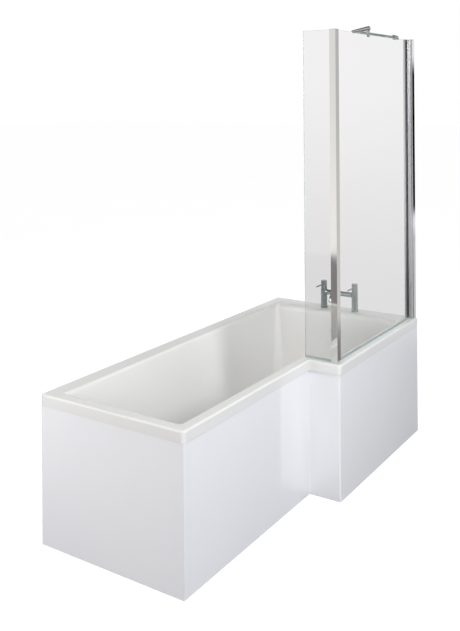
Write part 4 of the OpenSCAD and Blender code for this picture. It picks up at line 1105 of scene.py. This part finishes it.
# %% Repeated pieces on points
def loose_parts(node):
    """The box of each separate solid in a CAD node, in millimetres."""
    shape = cad_shape(node)
    bmesh.ops.remove_doubles(shape, verts=shape.verts, dist=MERGE)
    left, boxes = set(shape.verts), []
    while left:
        group, waiting = set(), [left.pop()]
        while waiting:
            vertex = waiting.pop()
            group.add(vertex)
            near = {edge.other_vert(vertex) for edge in vertex.link_edges} - group
            waiting += list(near)
            group |= near
        left -= group
        axes = list(zip(*(vertex.co for vertex in group)))
        boxes.append((Vector([min(values) for values in axes]), Vector([max(values) for values in axes])))
    shape.free()
    return sorted(boxes, key=lambda box: tuple(box[0]))


def copies_tree():
    """Puts the pattern object on each point, turned about Z by the point's own turn."""
    tree, given, out = tree_of("copies_on_points", ("pattern", "NodeSocketObject", None),
                               ("finish", "NodeSocketMaterial", None))
    shape = tree.nodes.new("GeometryNodeObjectInfo")
    turn = tree.nodes.new("GeometryNodeInputNamedAttribute")
    turn.data_type = "FLOAT"
    turn.inputs["Name"].default_value = "turn"
    spin = tree.nodes.new("ShaderNodeCombineXYZ")
    put = tree.nodes.new("GeometryNodeInstanceOnPoints")
    realize = tree.nodes.new("GeometryNodeRealizeInstances")
    paint = tree.nodes.new("GeometryNodeSetMaterial")
    for source, target in (
            ((given, "pattern"), (shape, "Object")), ((given, "Geometry"), (put, "Points")),
            ((shape, "Geometry"), (put, "Instance")), ((turn, "Attribute"), (spin, "Z")),
            ((spin, "Vector"), (put, "Rotation")), ((put, "Instances"), (realize, "Geometry")),
            ((realize, "Geometry"), (paint, "Geometry")), ((given, "finish"), (paint, "Material")),
            ((paint, "Geometry"), (out, "Geometry"))):
        wire(tree, source, target)
    return tree


copies_on_points = copies_tree()


def copies(shape, places, finish):
    """One shape on many places, each (x, y, z, turn)."""
    points = bpy.data.meshes.new("points")
    points.from_pydata([place[:3] for place in places], [], [])
    turns = points.attributes.new("turn", "FLOAT", "POINT")
    for k, place in enumerate(places):
        turns.data[k].value = place[3]
    model = link(as_mesh(shape, "model"))
    made = grown(link(points), copies_on_points, pattern=model, finish=finish)
    bpy.data.objects.remove(model)
    return made


# %% Nuts and screws
def hex_nut(across, height, bore):
    """A chamfered hexagon nut: a hexagonal bar cut to a turned blank."""
    point = across / math.sqrt(3)
    angles = [math.pi * k / 3 for k in range(6)]
    bar = drawn([(point * math.cos(angle), point * math.sin(angle)) for angle in angles], 0, height)
    rise = (point - across / 2) * 0.55
    blank = turned([(bore, 0), (across / 2, 0), (point + 0.02, rise), (point + 0.02, height - rise),
                    (across / 2, height), (bore, height)], loop=True)
    return joined(bar, ("INTERSECT", blank))


def on_parts(node):
    """The middle of each loose part's underside, with no turn."""
    return [((low.x + high.x) / 2, (low.y + high.y) / 2, low.z, 0.0) for low, high in loose_parts(node)]


NUT_H, LOCK_NUT_ACROSS, BACKNUT_ACROSS = 10, 19, 36
SCREW_R, SCREW_HEAD_R, SCREW_HEAD_H, SCREW_L = 2, 5, 2.5, 14.5
lock_nuts = copies(hex_nut(LOCK_NUT_ACROSS, NUT_H, STUD_R), on_parts("lock_nuts"), zinc)
piece("lock_nut_set", lock_nuts, zinc, "galvanised_steel", "lock_nuts")
backnuts = copies(hex_nut(BACKNUT_ACROSS, NUT_H, TAIL_R), on_parts("backnuts"), brass)
piece("backnut_set", backnuts, brass, "brass", "backnuts")
screw_side = flat(rounded([(0, SCREW_L, 0), (0.3, SCREW_L, 0), (SCREW_R, SCREW_L - 2.5, 0),
                           (SCREW_R, SCREW_HEAD_H, 0), (SCREW_HEAD_R, SCREW_HEAD_H, 0.3),
                           (SCREW_HEAD_R, 1.2, 0.6), (3, 0, 1.5), (0, 0, 0)]))
screw = turned(screw_side, facets=32)
for turn in (0, math.pi / 2):
    recess = block((-2.4, -0.45, -1), (2.4, 0.45, 1.2))
    recess.transform(Matrix.Rotation(turn, 4, "Z"))
    screw = joined(screw, ("DIFFERENCE", recess))
piece("bar_screw_set", copies(screw, on_parts("bar_screws"), zinc), zinc, "galvanised_steel", "bar_screws")
tell("nuts and screws", 3)

# %% Panel clips
CLIP_W, CLIP_H, CLIP_GAP = 30, 16, 4.5
neck, lip = CLIP_GAP - 1.5, CLIP_GAP - 0.2
clip_side = rounded([(0, 0, 0.5), (neck, 0, 1), (neck, 9.5, 1.2), (lip, 11, 0.5), (lip, CLIP_H, 0.6),
                     (0, CLIP_H, 0.5)], closed=True)
drawn_axes = Matrix(((0, 0, 1, 0), (1, 0, 0, 0), (0, 1, 0, 0), (0, 0, 0, 1)))
clip = drawn(clip_side, -CLIP_W / 2, CLIP_W / 2, drawn_axes)
clip_places = []
for low, high in loose_parts("panel_clips"):
    if high.y - low.y > high.x - low.x:
        clip_places.append((high.x, (low.y + high.y) / 2, low.z, math.pi / 2))
    else:
        clip_places.append(((low.x + high.x) / 2, high.y, low.z, math.pi))
clips = copies(clip, clip_places, white_plastic)
piece("panel_clip_set", clips, white_plastic, "white_plastic", "panel_clips")
print("pieces:", len(PIECES), "clips:", len(clip_places))

# %% [markdown]
# The studio is plain: a pale floor, a white surround and soft lamps, most of them at the front and at the
# near end, where the photograph's highlights come from. The floor and the surround are white to the camera
# only. They scatter little light, because the lamps do the lighting. Bright plating shows only what stands
# around it, so mirrored rays see a dark floor near the bath and a surround that is greyer on one side. Rays
# that have passed the glass see a surround that is a little greyer than white.

# %% Helpers for the studio
def stage_plane(name, size, made, place):
    """A flat rectangle of the studio."""
    shape = bmesh.new()
    half_x, half_y = size[0] / 2, size[1] / 2
    corners = [(-half_x, -half_y, 0), (half_x, -half_y, 0), (half_x, half_y, 0), (-half_x, half_y, 0)]
    shape.faces.new([shape.verts.new(place @ Vector(corner)) for corner in corners])
    mesh = as_mesh(shape, name)
    mesh.materials.append(made)
    thing = link(mesh, name)
    thing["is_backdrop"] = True
    return thing


def ray_switch(tree, plain, others, output):
    """Shows one shader to light that scatters, and another to each kind of ray that is named."""
    path = tree.nodes.new("ShaderNodeLightPath")
    shown = plain
    for ray, shader in others:
        mix = tree.nodes.new("ShaderNodeMixShader")
        tree.links.new(path.outputs[ray], mix.inputs["Fac"])
        tree.links.new(shown, mix.inputs[1])
        tree.links.new(shader, mix.inputs[2])
        shown = mix.outputs["Shader"]
    tree.links.new(shown, output)


def ramp_value(tree, source, start, end, low, high):
    """A value that goes smoothly from low to high while the source goes from start to end."""
    node = tree.nodes.new("ShaderNodeMapRange")
    node.interpolation_type = "SMOOTHSTEP"
    for socket, value in (("From Min", start), ("From Max", end), ("To Min", low), ("To Max", high)):
        node.inputs[socket].default_value = value
    tree.links.new(source, node.inputs["Value"])
    return node.outputs["Result"]


def combined(tree, operation, first, second):
    """Two values joined by one operation of arithmetic."""
    node = tree.nodes.new("ShaderNodeMath")
    node.operation = operation
    tree.links.new(first, node.inputs[0])
    tree.links.new(second, node.inputs[1])
    return node.outputs["Value"]


def from_point(tree, source, point):
    """The distance of a place from a point, in metres."""
    node = tree.nodes.new("ShaderNodeVectorMath")
    node.operation = "DISTANCE"
    node.inputs[1].default_value = point
    tree.links.new(source, node.inputs[0])
    return node.outputs["Value"]


def glow_of(tree, strength, kind="ShaderNodeEmission", color=(1, 1, 1)):
    """A light of its own, with a strength that is a number or a socket."""
    made = tree.nodes.new(kind)
    made.inputs["Color"].default_value = (*color, 1)
    if isinstance(strength, float):
        made.inputs["Strength"].default_value = strength
    else:
        tree.links.new(strength, made.inputs["Strength"])
    return made.outputs[0]


# %% Floor
FLOOR_SIZE, FLOOR_GLOW, DARK_GLOW = 80, 0.985, 0.26
floor_paint = bpy.data.materials.new("studio_floor")
floor_paint.use_nodes = True
tree = floor_paint.node_tree
matte = tree.nodes["Principled BSDF"]
matte.inputs["Base Color"].default_value = (0.13, 0.13, 0.155, 1)
matte.inputs["Roughness"].default_value = 0.9
matte.inputs["Specular IOR Level"].default_value = 0.0
lit = tree.nodes.new("ShaderNodeAddShader")
tree.links.new(matte.outputs["BSDF"], lit.inputs[0])
tree.links.new(glow_of(tree, FLOOR_GLOW), lit.inputs[1])
clear = tree.nodes.new("ShaderNodeBsdfTransparent")
spot = tree.nodes.new("ShaderNodeTexCoord").outputs["Object"]
cove = tree.nodes.new("ShaderNodeMixShader")
from_behind = from_point(tree, spot, (-1.5, 0.8, 0.0))
past_dark = combined(tree, "MULTIPLY", ramp_value(tree, from_behind, 3.15, 3.5, 0.0, 1.0),
                     ramp_value(tree, from_point(tree, spot, (0.9, -1.0, 0.0)), 1.0, 1.9, 0.0, 1.0))
tree.links.new(past_dark, cove.inputs["Fac"])
tree.links.new(glow_of(tree, DARK_GLOW), cove.inputs[1])
tree.links.new(clear.outputs["BSDF"], cove.inputs[2])
ray_switch(tree, matte.outputs["BSDF"],
           [("Is Glossy Ray", cove.outputs["Shader"]),
            ("Is Transmission Ray", clear.outputs["BSDF"]),
            ("Is Camera Ray", lit.outputs["Shader"])],
           tree.nodes["Material Output"].inputs["Surface"])
floor = stage_plane("floor", (FLOOR_SIZE, FLOOR_SIZE), floor_paint, Matrix())
print("floor:", [round(side) for side in floor.dimensions[:2]], "m")

# %% Surround
world = bpy.data.worlds.new("surround")
bpy.context.scene.world = world
world.use_nodes = True
tree = world.node_tree
toward = tree.nodes.new("ShaderNodeTexCoord").outputs["Generated"]


def along(direction):
    """How far a ray's own direction goes along another, from -1 to 1."""
    node = tree.nodes.new("ShaderNodeVectorMath")
    node.operation = "DOT_PRODUCT"
    node.inputs[1].default_value = direction
    tree.links.new(toward, node.inputs[0])
    return node.outputs["Value"]


BACKGROUND, UP = "ShaderNodeBackground", (0, 0, 1)
scattered = ramp_value(tree, along((-0.87, 0.5, 0.0)), -1.0, 1.0, 0.02, 0.05)
beside = combined(tree, "MULTIPLY", ramp_value(tree, along((-0.88, 0.47, 0.0)), -1.0, 1.0, 0.635, 0.985),
                  ramp_value(tree, along(UP), -0.2, 0.06, 1.1, 0.93))
far_end = combined(tree, "MULTIPLY", ramp_value(tree, along((0.86, 0.51, 0.0)), 0.6, 0.9, 0.0, 0.45),
                   ramp_value(tree, along(UP), 0.235, 0.275, 1.0, 0.0))
mirrored = combined(tree, "MULTIPLY", combined(tree, "ADD", beside, far_end),
                    ramp_value(tree, along(UP), 0.5, 0.75, 1.0, 0.12))
ahead_glow = ramp_value(tree, along(UP), -0.27, 0.05, 0.80, 0.99)
behind_glass = combined(tree, "MINIMUM", ahead_glow, ramp_value(tree, along((1, 0, 0)), -0.1, 0.1, 0.78, 1.0))
ray_switch(tree, glow_of(tree, scattered, BACKGROUND),
           [("Is Glossy Ray", glow_of(tree, mirrored, BACKGROUND)),
            ("Is Transmission Ray", glow_of(tree, behind_glass, BACKGROUND, (0.99, 0.965, 0.98))),
            ("Is Camera Ray", glow_of(tree, 1.0, BACKGROUND))],
           tree.nodes["World Output"].inputs["Surface"])
print("surround:", len(tree.nodes), "nodes")

# %% [markdown]
# Lamps are hidden from the camera and from mirrors, because their plain rectangles would show in the plating.
# The key lamp stands at the front left and is small, so the corner post throws a soft shadow on the well's
# back wall. The large side lamp fills the well from the near end. A dark card stands outside the picture, as
# in a real studio, and only mirrors show it: it gives the wall channel its dark streak.

# %% Lamps
def facing(place, target):
    """A matrix at a place whose -Z looks at a target, both in metres."""
    turn = (Vector(target) - Vector(place)).to_track_quat("-Z", "Y")
    return Matrix.Translation(place) @ turn.to_matrix().to_4x4()


def lamp(name, place, target, size, power, color=(1, 1, 1), through_glass=True):
    """A soft lamp that mirrors don't show. Its size is in metres and its power in watts."""
    light = bpy.data.lights.new(name, "AREA")
    light.shape = "RECTANGLE"
    light.size, light.size_y = size
    light.energy = power
    light.color = color
    thing = bpy.data.objects.new(name, light)
    bpy.context.collection.objects.link(thing)
    thing.matrix_world = facing(place, target)
    thing.visible_camera = False
    thing.visible_glossy = False
    thing.visible_transmission = through_glass


COOL = (0.965, 0.98, 1.0)
lamp("key_softbox", (-0.8, -3.1, 2.35), (0.2, 0, 0.4), (0.7, 0.9), 64, COOL)
lamp("front_softbox", (1.0, -3.2, 2.6), (0.4, 0, 0.5), (1.4, 1.4), 26, COOL)
lamp("low_right_softbox", (1.5, -2.8, 0.54), (0.6, -0.4, 0.3), (1.0, 0.6), 6, COOL)
lamp("low_front_softbox", (-1.8, -2.7, 1.0), (0.3, -0.2, 0.4), (1.4, 1.0), 17, COOL)
lamp("side_softbox", (-6.0, -1.9, 3.1), (0, 0, 0.5), (2.8, 2.8), 192, (1.0, 0.985, 0.965))
lamp("near_softbox", (-2.0, 1.0, 1.0), (-0.85, 0.15, 0.25), (1.2, 1.0), 14, through_glass=False)
lamp("top_softbox", (-1.8, 0.0, 3.8), (-0.2, 0, 0.3), (2.0, 2.0), 6)
lamp("far_softbox", (0.95, 0.2, 2.8), (-0.4, 0, 0.3), (0.9, 0.7), 15, (1.0, 1.0, 0.98))
lamp("back_softbox", (2.5, 2.8, 0.8), (0.1, 0.2, 0.4), (1.6, 0.9), 60, through_glass=False)
print("lamps:", len(bpy.data.lights))

# %% Dark card
# It is black along its middle and glows pale towards its ends, which only mirrors show.
END_GLOW = 1.05
card_paint = bpy.data.materials.new("card_paint")
card_paint.use_nodes = True
tree = card_paint.node_tree
across = tree.nodes.new("ShaderNodeSeparateXYZ")
tree.links.new(tree.nodes.new("ShaderNodeTexCoord").outputs["Object"], across.inputs["Vector"])
height = across.outputs["Z"]
lower_end = combined(tree, "MULTIPLY", ramp_value(tree, height, 0.91, 1.02, END_GLOW, 0.0),
                     ramp_value(tree, height, 0.78, 0.9, 0.6, 1.0))
card_glow = combined(tree, "ADD", ramp_value(tree, height, 1.84, 1.98, 0.0, END_GLOW), lower_end)
tree.links.new(glow_of(tree, card_glow), tree.nodes["Material Output"].inputs["Surface"])
card = stage_plane("dark_card", (0.5, 1.34), card_paint, facing((1.91, -0.62, 1.45), (1.01, -0.14, 1.45)))
for kind in ("camera", "diffuse", "transmission", "shadow", "volume_scatter"):
    setattr(card, "visible_" + kind, False)
print("card:", [round(side, 2) for side in card.dimensions], "m")

bpy.context.scene.view_settings.view_transform = "Standard"

# %% [markdown]
# At the end the script measures the box of what is shown and prints it.

# %% Size of what is shown
low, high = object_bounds()
print("shown box", [round(v / MM, 1) for v in (*low, *high)])
